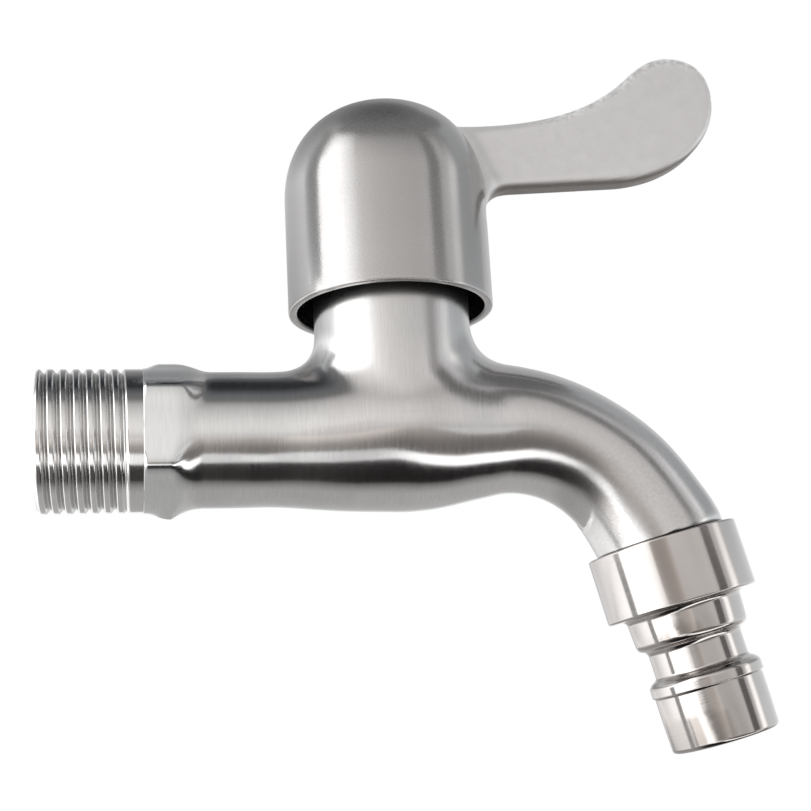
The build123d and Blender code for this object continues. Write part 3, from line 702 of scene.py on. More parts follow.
def lever_distance(points):
    """Distance from a bar with rounded edges.

    It is |max(w, 0)| + min(max(w), 0) - r, where w are the two gaps plus the rounding r.
    """
    far, out = curve_distance(points[:, [0, 2]], lever_curve, lever_facts)
    w = np.stack([far + lever_round, np.abs(points[:, 1]) - lever_half + lever_round], axis=-1)
    outside = np.linalg.norm(np.maximum(w, 0), axis=1)
    inside = w.max(axis=1)
    pick = np.where(outside[:, None] > 1e-6, np.maximum(w, 0) / np.maximum(outside, 1e-6)[:, None],
                    w == inside[:, None])
    sideways = np.sign(points[:, 1]) * pick[:, 1]
    direction = points_of(out[:, 0] * pick[:, 0], sideways, out[:, 1] * pick[:, 0])
    return outside + np.minimum(inside, 0) - lever_round, direction


root_side_blend = 3.0
root_low_blend = 5.2
root_high_z, root_fade = 45.0, 6.0


def root_width(points, along):
    """Width of the blend: wide under the lever, close beside and above it."""
    low = smooth_step((root_high_z - points[:, 2]) / root_fade)
    return (root_side_blend + (root_low_blend - root_side_blend) * low) * np.sqrt(1 - along)


def onto_handle(points, rounds=14):
    """Pulls points onto dome and lever."""
    return pull(points, dome_distance, lever_distance, root_width, rounds)


# %% Weave the dome, its openings and the lever
screw_z = 39.5
screw_hole_r = 3.3
boss_r = 6.8
insert_hole_r = 5.35
insert_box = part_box("spline_insert")
boss_low_z = insert_box[0][2] / MM + 0.7
insert_top_z = insert_box[1][2] / MM + 0.15
outer_rim = [(dome_r - 0.2, dome_rim_z), (dome_r - 0.07, dome_rim_z + 0.06),
             (dome_r - 0.01, dome_rim_z + 0.2), (dome_r, dome_rim_z + 0.4)]
straight = [(dome_r, z) for z in np.linspace(dome_rim_z + 0.9, dome_shoulder_z, 36)]
outer_profile = np.concatenate([outer_rim, straight, crown(dome_r, dome_height, 46)[1:-1]])
handle = Skin()
dome_ids = handle.add(valve_rings(outer_profile, theta))
lever_opening_z, lever_opening_r = 33.0, 5.5
lever_half_columns = 18
lever_columns = (-lever_half_columns, lever_half_columns)
lever_rows = (int(np.searchsorted(outer_profile[:, 1], lever_opening_z)),
              int(np.searchsorted(-outer_profile[:, 0], -lever_opening_r)))
screw_half_columns, screw_opening = 8, 4.6
screw_columns = (quarter - screw_half_columns, quarter + screw_half_columns)
screw_rows = tuple(int(np.searchsorted(outer_profile[:, 1], screw_z + reach))
                   for reach in (-screw_opening, screw_opening))
keep = opening_cells(dome_ids.shape, lever_rows, lever_columns)
keep &= opening_cells(dome_ids.shape, screw_rows, screw_columns)
handle.weave(dome_ids, keep)
handle.close(dome_ids[-1], (valve_x, 0, dome_shoulder_z + dome_height))

# The lever's sections: rays from the middle of each section at the rim's own angles
lever_rim = opening_rim(dome_ids, lever_rows, lever_columns)
lever_rim_points = handle.at(lever_rim)
rim_middle = 0.5 * (lever_rim_points[:, 2].min() + lever_rim_points[:, 2].max())
ray = np.arctan2(lever_rim_points[:, 2] - rim_middle, lever_rim_points[:, 1])
lever_start = valve_x + 19.5
nose_length = 7.0
nose_share = np.linspace(1, 0, 27)[:-1] ** 2
section_step = 0.45
section_x = np.concatenate([np.arange(lever_start, tip[0] - nose_length, section_step),
                            tip[0] - nose_length * nose_share])
high_z = np.interp(section_x, upper[:, 0], upper[:, 1])
low_z = np.interp(section_x, lower[:, 0], lower[:, 1])
half_z = np.maximum(0.5 * (high_z - low_z), 0.05)[:, None]
reach = np.minimum(lever_half / np.maximum(np.abs(np.cos(ray)), 1e-3),
                   half_z / np.maximum(np.abs(np.sin(ray)), 1e-3))
middle_z = 0.5 * (high_z + low_z)[:, None]
sections = points_of(section_x[:, None], reach * np.cos(ray), middle_z + reach * np.sin(ray))
at_once = 12
for row in range(0, len(sections), at_once):
    part = sections[row:row + at_once]
    sections[row:row + at_once] = onto_handle(part.reshape(-1, 3)).reshape(part.shape)

# The root: from the dome's opening, by way of where each section's point meets the dome
on_dome_r = np.interp(sections[0][:, 2], dome_curve[:, 1], dome_curve[:, 0])
meet = sections[0].copy()
meet[:, 0] = valve_x + np.sqrt(np.maximum(on_dome_r ** 2 - sections[0][:, 1] ** 2, 0))
root = quadratic(lever_rim_points, meet, sections[0], ring_shares(39))
root = settled(lever_rim_points, root, onto_handle, 10, 14)
lever_ids = np.concatenate([lever_rim[None], handle.add(root[:-1]), handle.add(sections)])
handle.weave(lever_ids)
handle.close(lever_ids[-1], (tip[0], 0, tip[1]))

# The screw's opening: rings on the dome to a circle, then the seat of the cap
screw_rim = opening_rim(dome_ids, screw_rows, screw_columns)
screw_rim_points = handle.at(screw_rim)
about = np.arctan2(screw_rim_points[:, 2] - screw_z, screw_rim_points[:, 0] - valve_x)


def dome_back(x, z):
    """The y of the dome's skin at the back, at x from the valve's axis and at height z."""
    return np.sqrt(np.interp(z, dome_curve[:, 1], dome_curve[:, 0]) ** 2 - x ** 2)


def screw_ring(radius, depth=0.0):
    """Circle round the screw's line, on the dome or a depth inside it."""
    x = radius * np.cos(about)
    z = screw_z + radius * np.sin(about)
    return points_of(valve_x + x, dome_back(x, z) - depth, z)


cap_seat = 1.1
t = ring_shares(6)
spread = (1 - t) * screw_rim_points + t * screw_ring(screw_hole_r)
spread[..., 1] = dome_back(spread[..., 0] - valve_x, spread[..., 2])
seat = np.stack([screw_ring(screw_hole_r - 0.04, 0.05), screw_ring(screw_hole_r - 0.05, 0.3),
                 screw_ring(screw_hole_r - 0.05, cap_seat - 0.1), screw_ring(1.5, cap_seat)])
seat_ids = np.concatenate([screw_rim[None], handle.add(spread), handle.add(seat)])
handle.weave(seat_ids)
handle.close(seat_ids[-1], (valve_x, dome_r - cap_seat, screw_z))

# Inside: the rim, the cavity, the boss and the hole for the splined insert
cavity_r = dome_r - dome_wall
inner_crown = crown(cavity_r, dome_height - dome_crown_wall, 30)
inner_crown = inner_crown[inner_crown[:, 0] > boss_r + 0.6]
boss_top = inner_crown[-1, 1] + 0.1
inside = [(cavity_r + 0.35, dome_rim_z), (cavity_r + 0.1, dome_rim_z + 0.08),
          (cavity_r + 0.02, dome_rim_z + 0.3), (cavity_r, dome_rim_z + 0.6), (cavity_r, 30.0),
          *inner_crown.tolist(), (boss_r + 0.2, boss_top), (boss_r, boss_top - 0.3),
          (boss_r, boss_low_z + 0.4), (boss_r - 0.2, boss_low_z + 0.05), (boss_r - 0.4, boss_low_z),
          (insert_hole_r + 0.2, boss_low_z), (insert_hole_r, boss_low_z + 0.2),
          (insert_hole_r, insert_top_z)]
inside_ids = np.concatenate([dome_ids[:1], handle.add(valve_rings(inside, theta))])
handle.weave(inside_ids)
handle.close(inside_ids[-1], (valve_x, 0, insert_top_z))
handle_skin = handle.piece("lever_handle")

# %% Shares of the handle's finishes: the upper edge's band of painted glints, and the root of the lever
glint_from, glint_fade, glint_band = 22.0, 9.0, 2.4
root_corner = np.array([valve_x + 9.5, 0.0, 34.5])
root_half, root_soft, root_soft_z = 6.5, 2.5, 2.0
handle_points = np.empty(len(handle_skin.data.vertices) * 3)
handle_skin.data.vertices.foreach_get("co", handle_points)
handle_points = handle_points.reshape(-1, 3) / MM
# A band just below the lever's upper edge, out towards the tip, where the material paints white glints
below_edge = np.interp(handle_points[:, 0], upper[:, 0], upper[:, 1]) - handle_points[:, 2]
far_out = smooth_step((handle_points[:, 0] - valve_x - glint_from) / glint_fade)
mark(handle_skin.data, "edge_glint", smooth_step(1 - below_edge / glint_band) * far_out)
x_past, y_past, z_past = (handle_points - root_corner).T
by_root = smooth_step(x_past / root_soft) * smooth_step((root_half - np.abs(y_past)) / root_soft)
mark(handle_skin.data, "root", by_root * smooth_step(z_past / root_soft_z))

# %% [markdown]
# ## Pieces and bodies
#
# Each new piece rides on the CAD body that carries it and stands for the solid it improves, which
# is hidden. The pieces get their materials further on.

# %% Ride, and hide the solid each piece improves
for piece, carrier, node, slot in [(body_skin, "tap_body", "tap_body", "cast_steel"),
                                   (inlet_shank, "tap_body", "tap_body", "cast_steel"),
                                   (hose_nozzle, "hose_nozzle", "hose_nozzle", "turned_steel"),
                                   (handle_skin, "handle", "handle", "handle_steel")]:
    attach(piece, carrier)
    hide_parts(node)

# %% [markdown]
# ## Finishes
#
# Stainless steel has one colour and many finishes. What tells a brushed pipe from a blasted lever
# or a turned nozzle is how fine marks in the surface spread the reflections. Three node groups make
# those marks from the object's own coordinates: fine lines along one direction, an even grain, and
# broad handling marks. Each material then mixes them with its own values.

# %% Node helpers
def put(tree, kind, options=None, fill=None):
    """Adds a shader node, sets its options, and fills its inputs with values or other outputs."""
    node = tree.nodes.new("ShaderNode" + kind)
    for key, value in (options or {}).items():
        setattr(node, key, value)
    for key, value in (fill or {}).items():
        socket = node.inputs[key]
        if isinstance(value, bpy.types.NodeSocket):
            tree.links.new(value, socket)
        else:
            socket.default_value = value
    return node


def new_group(name, inputs, outputs):
    """An empty node group with named inputs, vectors or numbers, and number outputs."""
    tree = bpy.data.node_groups.new(name, "ShaderNodeTree")
    for label, value in inputs.items():
        kind = "NodeSocketVector" if isinstance(value, tuple) else "NodeSocketFloat"
        tree.interface.new_socket(label, in_out="INPUT", socket_type=kind).default_value = value
    for label in outputs:
        tree.interface.new_socket(label, in_out="OUTPUT", socket_type="NodeSocketFloat")
    return tree, tree.nodes.new("NodeGroupInput").outputs, tree.nodes.new("NodeGroupOutput").inputs


def maths(tree, operation, a, b):
    """Result of a Math node."""
    return put(tree, "Math", {"operation": operation}, {0: a, 1: b}).outputs[0]


def vectors(tree, operation, a, b=None):
    """Result of a vector node, where b is the second vector or the number to scale by."""
    fill = {0: a}
    if b is not None:
        fill["Scale" if operation == "SCALE" else 1] = b
    result = "Value" if operation in ("DOT_PRODUCT", "LENGTH") else "Vector"
    return put(tree, "VectorMath", {"operation": operation}, fill).outputs[result]


def here(tree):
    """Each point's place in the object's own coordinates."""
    return put(tree, "TexCoord").outputs["Object"]


def contrast(tree, value, gain):
    """Clipped (value - 0.5) * gain + 0.5."""
    less = maths(tree, "SUBTRACT", value, 0.5)
    clipped = {"operation": "MULTIPLY_ADD", "use_clamp": True}
    return put(tree, "Math", clipped, {0: less, 1: gain, 2: 0.5}).outputs[0]


def noise(tree, wanted, gain, **values):
    """Noise handed out of a group as a mask with more contrast, and as a height where it is wanted."""
    fac = put(tree, "TexNoise", None, values).outputs["Fac"]
    if "Height" in wanted:
        tree.links.new(fac, wanted["Height"])
    tree.links.new(contrast(tree, fac, gain), wanted["Mask"])


# %% Fine lines: noise of P * run + D (P . D)(lines - run), stretched along the lines
line_values = {"Direction": (1.0, 0.0, 0.0), "Lines": 5000.0, "Run": 150.0, "Contrast": 1.6}
lines_group, given, wanted = new_group("fine lines", line_values, ["Height", "Mask"])
place = here(lines_group)
across = vectors(lines_group, "DOT_PRODUCT", place, given["Direction"])
extra = maths(lines_group, "SUBTRACT", given["Lines"], given["Run"])
pushed = vectors(lines_group, "SCALE", given["Direction"], maths(lines_group, "MULTIPLY", across, extra))
slow = vectors(lines_group, "SCALE", place, given["Run"])
noise(lines_group, wanted, given["Contrast"], Vector=vectors(lines_group, "ADD", slow, pushed),
      Scale=1.0, Detail=3.0, Roughness=0.6)

# %% Grain: even fine noise, as blasting with beads leaves
grain_values = {"Grains": 2500.0, "Contrast": 1.6}
grain_group, given, wanted = new_group("blasted grain", grain_values, ["Height", "Mask"])
noise(grain_group, wanted, given["Contrast"], Vector=here(grain_group), Scale=given["Grains"],
      Detail=1.5, Roughness=0.5)

# %% Handling marks: broad soft patches where hands and cloths have been
patch_group, given, wanted = new_group("handling marks", {"Patches": 120.0, "Contrast": 2.0}, ["Mask"])
noise(patch_group, wanted, given["Contrast"], Vector=here(patch_group), Scale=given["Patches"],
      Detail=3.0, Distortion=0.3)

# %% More helpers: groups placed in a material, masks and mixes
def new_material(name, **values):
    """A Principled material with plain values on its sockets."""
    material = bpy.data.materials.new(name)
    material.use_nodes = True
    shader = material.node_tree.nodes["Principled BSDF"]
    for key, value in values.items():
        shader.inputs[key.replace("_", " ")].default_value = value
    return material, material.node_tree, shader


def use(tree, group, **values):
    """Places a node group with its own values and gives its outputs."""
    node = put(tree, "Group", {"node_tree": group})
    for key, value in values.items():
        node.inputs[key].default_value = value
    return node.outputs


def blend(tree, share, low, high):
    """Number between low and high by share; each may be a value or an output."""
    node = put(tree, "Mix", {"data_type": "FLOAT"}, {0: share, 2: low, 3: high})
    return node.outputs[0]


def tint(tree, share, low, high):
    """Colour between low and high by share."""
    node = put(tree, "Mix", {"data_type": "RGBA"}, {0: share})
    for index, colour in ((6, low), (7, high)):
        if isinstance(colour, bpy.types.NodeSocket):
            tree.links.new(colour, node.inputs[index])
        else:
            node.inputs[index].default_value = (*colour, 1)
    return node.outputs[2]


def ramp(tree, value, start, end):
    """Smooth mask, 0 up to start and 1 from end on, upwards or downwards."""
    fill = {"Value": value, "From Min": start, "From Max": end}
    return put(tree, "MapRange", {"interpolation_type": "SMOOTHSTEP"}, fill).outputs["Result"]


def kept_share(tree, name):
    """The share that the mesh keeps at its points under this name."""
    return put(tree, "Attribute", {"attribute_name": name}).outputs["Fac"]


def bump(tree, shader, height, strength, distance=0.00006):
    """Feeds a height to the shader's normal."""
    node = put(tree, "Bump", None, {"Strength": strength, "Distance": distance, "Height": height})
    tree.links.new(node.outputs["Normal"], shader.inputs["Normal"])


def paint(tree, shader, colour, rough):
    """Feeds a colour and a roughness to the shader."""
    tree.links.new(colour, shader.inputs["Base Color"])
    tree.links.new(rough, shader.inputs["Roughness"])


def coat(thing, material):
    """Gives an object one material in every slot."""
    thing.data.materials.clear()
    thing.data.materials.append(material)


# %% [markdown]
# The casting was brushed from the wall to the chamber, so its pipe has fine upright lines and crisp
# bands of light. Round the bend the belt couldn't follow, and the spout is only blasted, a little
# darker and softer, and so is the neck. Masks along X and up Z fade one finish into the other. Where
# the nozzle's collar meets the spout, a thin band of painted shade darkens the colour to stand for
# the seam's dark line.

# %% Cast steel: brushed pipe, satin neck, blasted spout
cast_steel, tree, shader = new_material("cast steel", Metallic=1.0)
place = put(tree, "SeparateXYZ", None, {0: here(tree)}).outputs
chamber_share = ramp(tree, place["X"], 0.020, 0.036)
spout_share = ramp(tree, place["X"], 0.050, 0.072)
neck_share = maths(tree, "MULTIPLY", ramp(tree, place["Z"], 0.006, 0.015), chamber_share)
boss_share = ramp(tree, place["X"], 0.0075, 0.0045)
brush = use(tree, lines_group, Lines=5200.0, Run=330.0)
grain = use(tree, grain_group, Grains=2600.0)
smears = use(tree, patch_group, Patches=140.0)
clean = tint(tree, smears["Mask"], (0.68, 0.675, 0.67), (0.62, 0.615, 0.61))
clean = tint(tree, boss_share, clean, (0.7, 0.705, 0.705))
dull = tint(tree, smears["Mask"], (0.6, 0.59, 0.585), (0.55, 0.54, 0.535))
dull = tint(tree, spout_share, dull, (0.54, 0.53, 0.525))
dull = tint(tree, neck_share, dull, (0.54, 0.535, 0.53))
streaks = blend(tree, spout_share, brush["Mask"], grain["Mask"])
streaked = tint(tree, streaks, (0.88, 0.88, 0.88), (1.0, 1.0, 1.0))
metal = put(tree, "Mix", {"data_type": "RGBA", "blend_type": "MULTIPLY"},
            {0: 1.0, 6: tint(tree, chamber_share, clean, dull), 7: streaked}).outputs[2]
# Painted shade: a thin near-black band across the spout just short of its end, where the collar meets it
from_end = vectors(tree, "SUBTRACT", here(tree), tuple(spout_end * MM))
past_end = vectors(tree, "DOT_PRODUCT", from_end, tuple(nozzle_dir))
seam_from = ramp(tree, past_end, -0.00026, -0.00016)
seam = maths(tree, "MULTIPLY", seam_from, ramp(tree, past_end, 0.0008, 0.0002))
brushed_rough = blend(tree, brush["Mask"], 0.11, 0.19)
blasted_rough = blend(tree, smears["Mask"], 0.2, 0.262)
rough = blend(tree, spout_share, brushed_rough, blasted_rough)
rough = blend(tree, neck_share, rough, blend(tree, smears["Mask"], 0.24, 0.265))
paint(tree, shader, tint(tree, seam, metal, (0.06, 0.055, 0.05)), rough)
bump(tree, shader, blend(tree, spout_share, brush["Height"], grain["Height"]), 0.14)
coat(body_skin, cast_steel)

# %% [markdown]
# The dome is satin and the lever is blasted matt, so the lever shows no reflections, only a light
# grey, while the dome still shows the studio's soft bands. A satin surface also scatters a little
# light like paint does, which lifts its darkest reflections, so both are only about three quarters
# metallic, and the lever's narrow upper face a quarter. The lever's downward faces and the inside of
# the dome are darkened with painted shade, and white painted glints speckle the lever's upper edge.

# %% Handle steel: satin dome, matt lever
handle_steel, tree, shader = new_material("handle steel")
place = put(tree, "SeparateXYZ", None, {0: here(tree)}).outputs
lever_share = maths(tree, "MAXIMUM", ramp(tree, place["X"], 0.0525, 0.0575), kept_share(tree, "root"))
grain = use(tree, grain_group, Grains=3000.0)
coarse = use(tree, grain_group, Grains=1900.0, Contrast=2.2)
smears = use(tree, patch_group, Patches=110.0)
satin = tint(tree, smears["Mask"], (0.405, 0.395, 0.39), (0.375, 0.365, 0.36))
pits = use(tree, patch_group, Patches=420.0, Contrast=1.4)
matt = tint(tree, pits["Mask"], (0.69, 0.68, 0.675), (0.62, 0.61, 0.605))
facing = put(tree, "SeparateXYZ", None, {0: put(tree, "NewGeometry").outputs["Normal"]}).outputs["Z"]
# Painted shade: lever faces that look downwards get a dark colour
matt = tint(tree, ramp(tree, facing, -0.3, -0.75), matt, (0.2, 0.185, 0.175))
edge = maths(tree, "MULTIPLY", ramp(tree, facing, 0.1, 0.5), lever_share)
# Painted highlight: near-white speckled glints painted along the lever's upper edge
sparkle = use(tree, grain_group, Grains=1300.0, Contrast=3.2)
painted_glint = maths(tree, "MULTIPLY", kept_share(tree, "edge_glint"), sparkle["Mask"])
matt = tint(tree, painted_glint, matt, (0.97, 0.97, 0.97))
bare = tint(tree, lever_share, satin, matt)
# Painted shade: the inside of the dome, within the rim and below the crown, gets a near-black colour
from_axis = vectors(tree, "SUBTRACT", here(tree), (valve_x * MM, 0.0, 0.0))
from_axis = vectors(tree, "LENGTH", vectors(tree, "MULTIPLY", from_axis, (1.0, 1.0, 0.0)))
within_rim = ramp(tree, from_axis, (cavity_r + 0.35) * MM, (cavity_r + 0.05) * MM)
inside_shade = maths(tree, "MULTIPLY", within_rim, ramp(tree, place["Z"], 0.037, 0.035))
satin_rough = blend(tree, smears["Mask"], 0.15, 0.2)
satin_rough = blend(tree, ramp(tree, place["Z"], 0.042, 0.051), satin_rough, 0.265)
matt_rough = blend(tree, coarse["Mask"], 0.42, 0.54)
paint(tree, shader, tint(tree, inside_shade, bare, (0.05, 0.048, 0.046)),
      blend(tree, lever_share, satin_rough, matt_rough))
tree.links.new(blend(tree, edge, blend(tree, coarse["Mask"], 0.7, 0.78), 0.25), shader.inputs["Metallic"])
bump(tree, shader, blend(tree, lever_share, grain["Height"], coarse["Height"]), 0.1)
coat(handle_skin, handle_steel)

# %% [markdown]
# The thread was cut and tumbled: its crests are bright, and its grooves are rougher and darker with
# painted shade, which the groove attribute marks. The nozzle was turned and polished on the lathe,
# so its fine lines run round it, and it mirrors the studio in crisp lengthwise bands.

# %% Thread steel and turned steel
thread_steel, tree, shader = new_material("thread steel", Metallic=1.0)
depth = kept_share(tree, "groove")
brush = use(tree, lines_group, Lines=6000.0, Run=300.0)
bright = tint(tree, brush["Mask"], (0.66, 0.655, 0.65), (0.6, 0.595, 0.59))
# Painted shade: the colour darkens with depth in the groove, and the groove is also rougher
paint(tree, shader, tint(tree, ramp(tree, depth, 0.6, 1.0), bright, (0.5, 0.49, 0.48)),
      blend(tree, depth, blend(tree, brush["Mask"], 0.1, 0.18), 0.22))
bump(tree, shader, brush["Height"], 0.1)
coat(inlet_shank, thread_steel)


def even_finish(name, metallic, group, scales, patches, light, dark, rough, strength):
    """Two close tones by handling marks, and a roughness range and a bump by one group's marks."""
    material, tree, shader = new_material(name, Metallic=metallic)
    marks = use(tree, group, **scales)
    smears = use(tree, patch_group, Patches=patches)
    paint(tree, shader, tint(tree, smears["Mask"], light, dark), blend(tree, marks["Mask"], *rough))
    bump(tree, shader, marks["Height"], strength)
    return material


nozzle_rings = {"Direction": tuple(nozzle_dir), "Lines": 7000.0, "Run": 60.0}
turned_steel = even_finish("turned steel", 1.0, lines_group, nozzle_rings, 160.0,
                           (0.46, 0.435, 0.42), (0.43, 0.405, 0.39), (0.08, 0.15), 0.06)
coat(hose_nozzle, turned_steel)

# %% [markdown]
# The inner pieces keep their CAD meshes. They show when the nozzle is unscrewed or from below, so
# each still gets its own material: machined brass, bright spring steel, lapped ceramic, black
# rubber and a grey moulded plastic.

# %% Finishes of the carried-over pieces
def fine_metal(name, light, dark, rough, lines, strength):
    """Machined metal, with turning lines round Z."""
    scales = {"Direction": (0.0, 0.0, 1.0), "Lines": lines, "Run": 80.0}
    return even_finish(name, 1.0, lines_group, scales, 200.0, light, dark, rough, strength)


def moulded(name, light, dark, rough, grains, strength):
    """Non-metal with a fine even grain."""
    return even_finish(name, 0.0, grain_group, {"Grains": grains}, 150.0, light, dark, rough, strength)


brass = fine_metal("machined brass", (0.78, 0.6, 0.3), (0.7, 0.52, 0.25), (0.18, 0.3), 5000.0, 0.1)
spring_steel = fine_metal("spring steel", (0.55, 0.55, 0.56), (0.47, 0.47, 0.48), (0.2, 0.32), 3000.0, 0.06)
ceramic = moulded("lapped ceramic", (0.9, 0.9, 0.87), (0.86, 0.86, 0.83), (0.18, 0.26), 1500.0, 0.02)
rubber = moulded("black rubber", (0.028, 0.028, 0.028), (0.04, 0.04, 0.04), (0.5, 0.62), 2200.0, 0.15)
plastic = moulded("grey plastic", (0.6, 0.6, 0.58), (0.55, 0.55, 0.53), (0.36, 0.46), 1800.0, 0.1)
finish_of = {"cast_steel": cast_steel, "handle_steel": handle_steel, "turned_steel": turned_steel,
             "brass": brass, "spring_steel": spring_steel, "ceramic": ceramic, "rubber": rubber,
             "slide_plastic": plastic}
slot_of = {row["node"]: row["material_slot"] for row in frame["record"]["subparts"]}
for name, thing in nodes.items():
    coat(thing, finish_of[slot_of[name]])
print("finishes", slot_of)

# %% [markdown]
# ## Stage, light and camera
#
# The camera stands low at the left and looks up, as in the photograph. Polished steel is a picture
# of its studio, so the studio is built from cards: a long soft box at the left with a flag above it,
# a small flag close beside the dome, a dark flag at the right, a ceiling that darkens upwards, bright
# walls, and strips just above the floor. Their places come from where each band of light falls on
# the round pipe and dome: a band at angle a from the middle of a round form mirrors what stands at
# 2a. The cards show only in reflections. Two soft lamps and the white world light everything else at
# a plain level.

# %% Camera at the photograph's viewpoint
camera_at = np.array([-2.867, -209.192, -48.868])
camera_yaw = math.radians(11.392)
camera_pitch = math.radians(14.2)
camera_roll = math.radians(3.14)
look = Vector((math.sin(camera_yaw) * math.cos(camera_pitch), math.cos(camera_yaw) * math.cos(camera_pitch),
               math.sin(camera_pitch)))
level = look.cross(Vector((0, 0, 1))).normalized()
upright = level.cross(look)
side = level * math.cos(camera_roll) - upright * math.sin(camera_roll)
above = upright * math.cos(camera_roll) + level * math.sin(camera_roll)
camera_data = bpy.data.cameras.new("camera")
camera_data.lens = 64.33
camera_data.sensor_width = 36.0
camera_data.clip_start = 0.01
camera = bpy.data.objects.new("camera", camera_data)
turn = Matrix((side, above, -look)).transposed().to_4x4()
camera.matrix_world = Matrix.Translation(Vector(camera_at * MM)) @ turn
bpy.context.scene.collection.objects.link(camera)
bpy.context.scene.camera = camera

# %% World: white behind the tap and in its reflections, softer as a light
def seen_directly(tree):
    """1 for rays from the camera, from reflections and through glass, 0 for rays that bring light."""
    rays = put(tree, "LightPath").outputs
    mirrored = maths(tree, "MAXIMUM", rays["Is Camera Ray"], rays["Is Glossy Ray"])
    return maths(tree, "MAXIMUM", mirrored, rays["Is Transmission Ray"])


world = bpy.data.worlds.new("white studio")
bpy.context.scene.world = world
world.use_nodes = True
sky = world.node_tree
sky.nodes.clear()
strength = blend(sky, seen_directly(sky), 0.75, 1.0)
glow = put(sky, "Background", None, {"Color": (1, 1, 1, 1), "Strength": strength})
sky.links.new(glow.outputs[0], put(sky, "OutputWorld").inputs["Surface"])

# %% Floor: pale, with the tap's shadow, fading to white further out
middle_x = 0.04
floor_z = -0.12
floor_reach = 4.0
floor_corners = [(x * floor_reach, y * floor_reach, floor_z)
                 for x, y in ((-1, -1), (1, -1), (1, 1), (-1, 1))]
floor_mesh = bpy.data.meshes.new("floor")
floor_mesh.from_pydata(floor_corners, [], [(0, 1, 2, 3)])
floor = bpy.data.objects.new("floor", floor_mesh)
bpy.context.scene.collection.objects.link(floor)
floor_look, tree, shader = new_material("pale floor", Roughness=0.8, Specular_IOR_Level=0.1)
away = vectors(tree, "LENGTH", vectors(tree, "SUBTRACT", here(tree), (middle_x, 0.0, floor_z)))
paper = use(tree, patch_group, Patches=12.0)
pale = tint(tree, paper["Mask"], (0.93, 0.93, 0.925), (0.95, 0.95, 0.95))
tree.links.new(pale, shader.inputs["Base Color"])
white = put(tree, "Emission", None, {"Color": (1, 1, 1, 1), "Strength": 1.0})
far = maths(tree, "MULTIPLY", ramp(tree, away, 0.2, 0.55), seen_directly(tree))
faded = put(tree, "MixShader", None, {0: far, 1: shader.outputs[0], 2: white.outputs[0]})
tree.links.new(faded.outputs[0], tree.nodes["Material Output"].inputs["Surface"])
floor_mesh.materials.append(floor_look)

# %% Cards that show only in reflections
cards = []


def reflection_only(name, grid, tone, glow):
    """A sheet that glows by its tone times a share at each point, hidden from all but glossy rays."""
    ids = np.arange(grid.shape[0] * grid.shape[1]).reshape(grid.shape[:2])
    faces = np.stack([ids[:-1, :-1], ids[:-1, 1:], ids[1:, 1:], ids[1:, :-1]], axis=-1).reshape(-1, 4)
    mesh = bpy.data.meshes.new(name)
    mesh.from_pydata(grid.reshape(-1, 3).tolist(), [], faces.tolist())
    mark(mesh, "glow", glow)
    sheet = bpy.data.objects.new(name, mesh)
    bpy.context.scene.collection.objects.link(sheet)
    material = bpy.data.materials.new(name)
    material.use_nodes = True
    tree = material.node_tree
    tree.nodes.clear()
    light = put(tree, "Emission", None, {"Color": (*tone, 1), "Strength": kept_share(tree, "glow")})
    tree.links.new(light.outputs[0], put(tree, "OutputMaterial").inputs["Surface"])
    mesh.materials.append(material)
    sheet.visible_camera = False
    sheet.visible_diffuse = False
    sheet.visible_transmission = False
    sheet.visible_shadow = False
    cards.append(sheet)


# %% Shapes of card: a patch of a sphere, a strip, an upright flag and a fan
card_centre = np.array([middle_x, 0.0, 0.01])
card_distance = 0.6
card_step = 0.002
level_elevation = 14.0
card_points = 36
strip_points = 70
short_side_points = 24
fan_points = 8
strip_height = 0.002
nozzle_foot_x = 0.085


def spread_over(stops, count):
    """Values at even steps through a few stops."""
    return np.interp(np.linspace(0, 1, count), np.linspace(0, 1, len(stops)), stops)


def card(name, tone, azimuth, elevation, lean=0.0, across=(1, 1), up=(1, 1)):
    """Patch of a sphere round the tap, each a little nearer than the one before it.

    Azimuth is from the front, towards the right. Lean shifts it per degree of height. Across and up
    are shares of the tone at even steps, from left to right and from the bottom upwards.
    """
    e = np.linspace(*elevation, card_points)[:, None]
    a = np.radians(np.linspace(*azimuth, card_points) + lean * (e - level_elevation))
    e = np.radians(e)
    grid = points_of(np.sin(a) * np.cos(e), -np.cos(a) * np.cos(e), np.sin(e))
    distance = card_distance - card_step * len(cards)
    glow = np.outer(spread_over(up, card_points), spread_over(across, card_points))
    reflection_only(name, card_centre + distance * grid, tone, glow)


def strip(name, tone, near, far, across, along=(1, 1)):
    """Flat strip just above the floor, with bent edges.

    Near and far are the edges' y at the places floor_x, and across is the share of the tone there.
    Along is the share at even steps from edge to edge.
    """
    x = np.linspace(floor_x[0], floor_x[-1], strip_points)
    near, far, across = [np.interp(x, floor_x, np.broadcast_to(values, len(floor_x)))
                         for values in (near, far, across)]
    y = near[:, None] + (far - near)[:, None] * np.linspace(0, 1, short_side_points)
    glow = np.outer(across, spread_over(along, short_side_points))
    reflection_only(name, points_of(x[:, None], y, floor_z + strip_height), tone, glow)


def near_flag(name, tone, azimuth, distance, heights, across=(1, 1), up=(1, 1)):
    """Upright sheet close to the valve's axis, which the dome mirrors and the neck below hardly does."""
    a = np.radians(np.linspace(*azimuth, card_points))
    z = np.linspace(*heights, short_side_points)[:, None]
    grid = points_of(valve_x * MM + distance * np.sin(a), -distance * np.cos(a), z)
    glow = np.outer(spread_over(up, short_side_points), spread_over(across, card_points))
    reflection_only(name, grid, tone, glow)


def fan(name, tone, azimuth, reach, height, across=(1, 1)):
    """Sector of a ring on the floor, about the point below the nozzle."""
    a = np.radians(np.linspace(*azimuth, card_points))[:, None]
    r = np.linspace(*reach, fan_points)
    grid = points_of(nozzle_foot_x + r * np.sin(a), -r * np.cos(a), floor_z + height)
    reflection_only(name, grid, tone, np.outer(spread_over(across, card_points), np.ones(fan_points)))


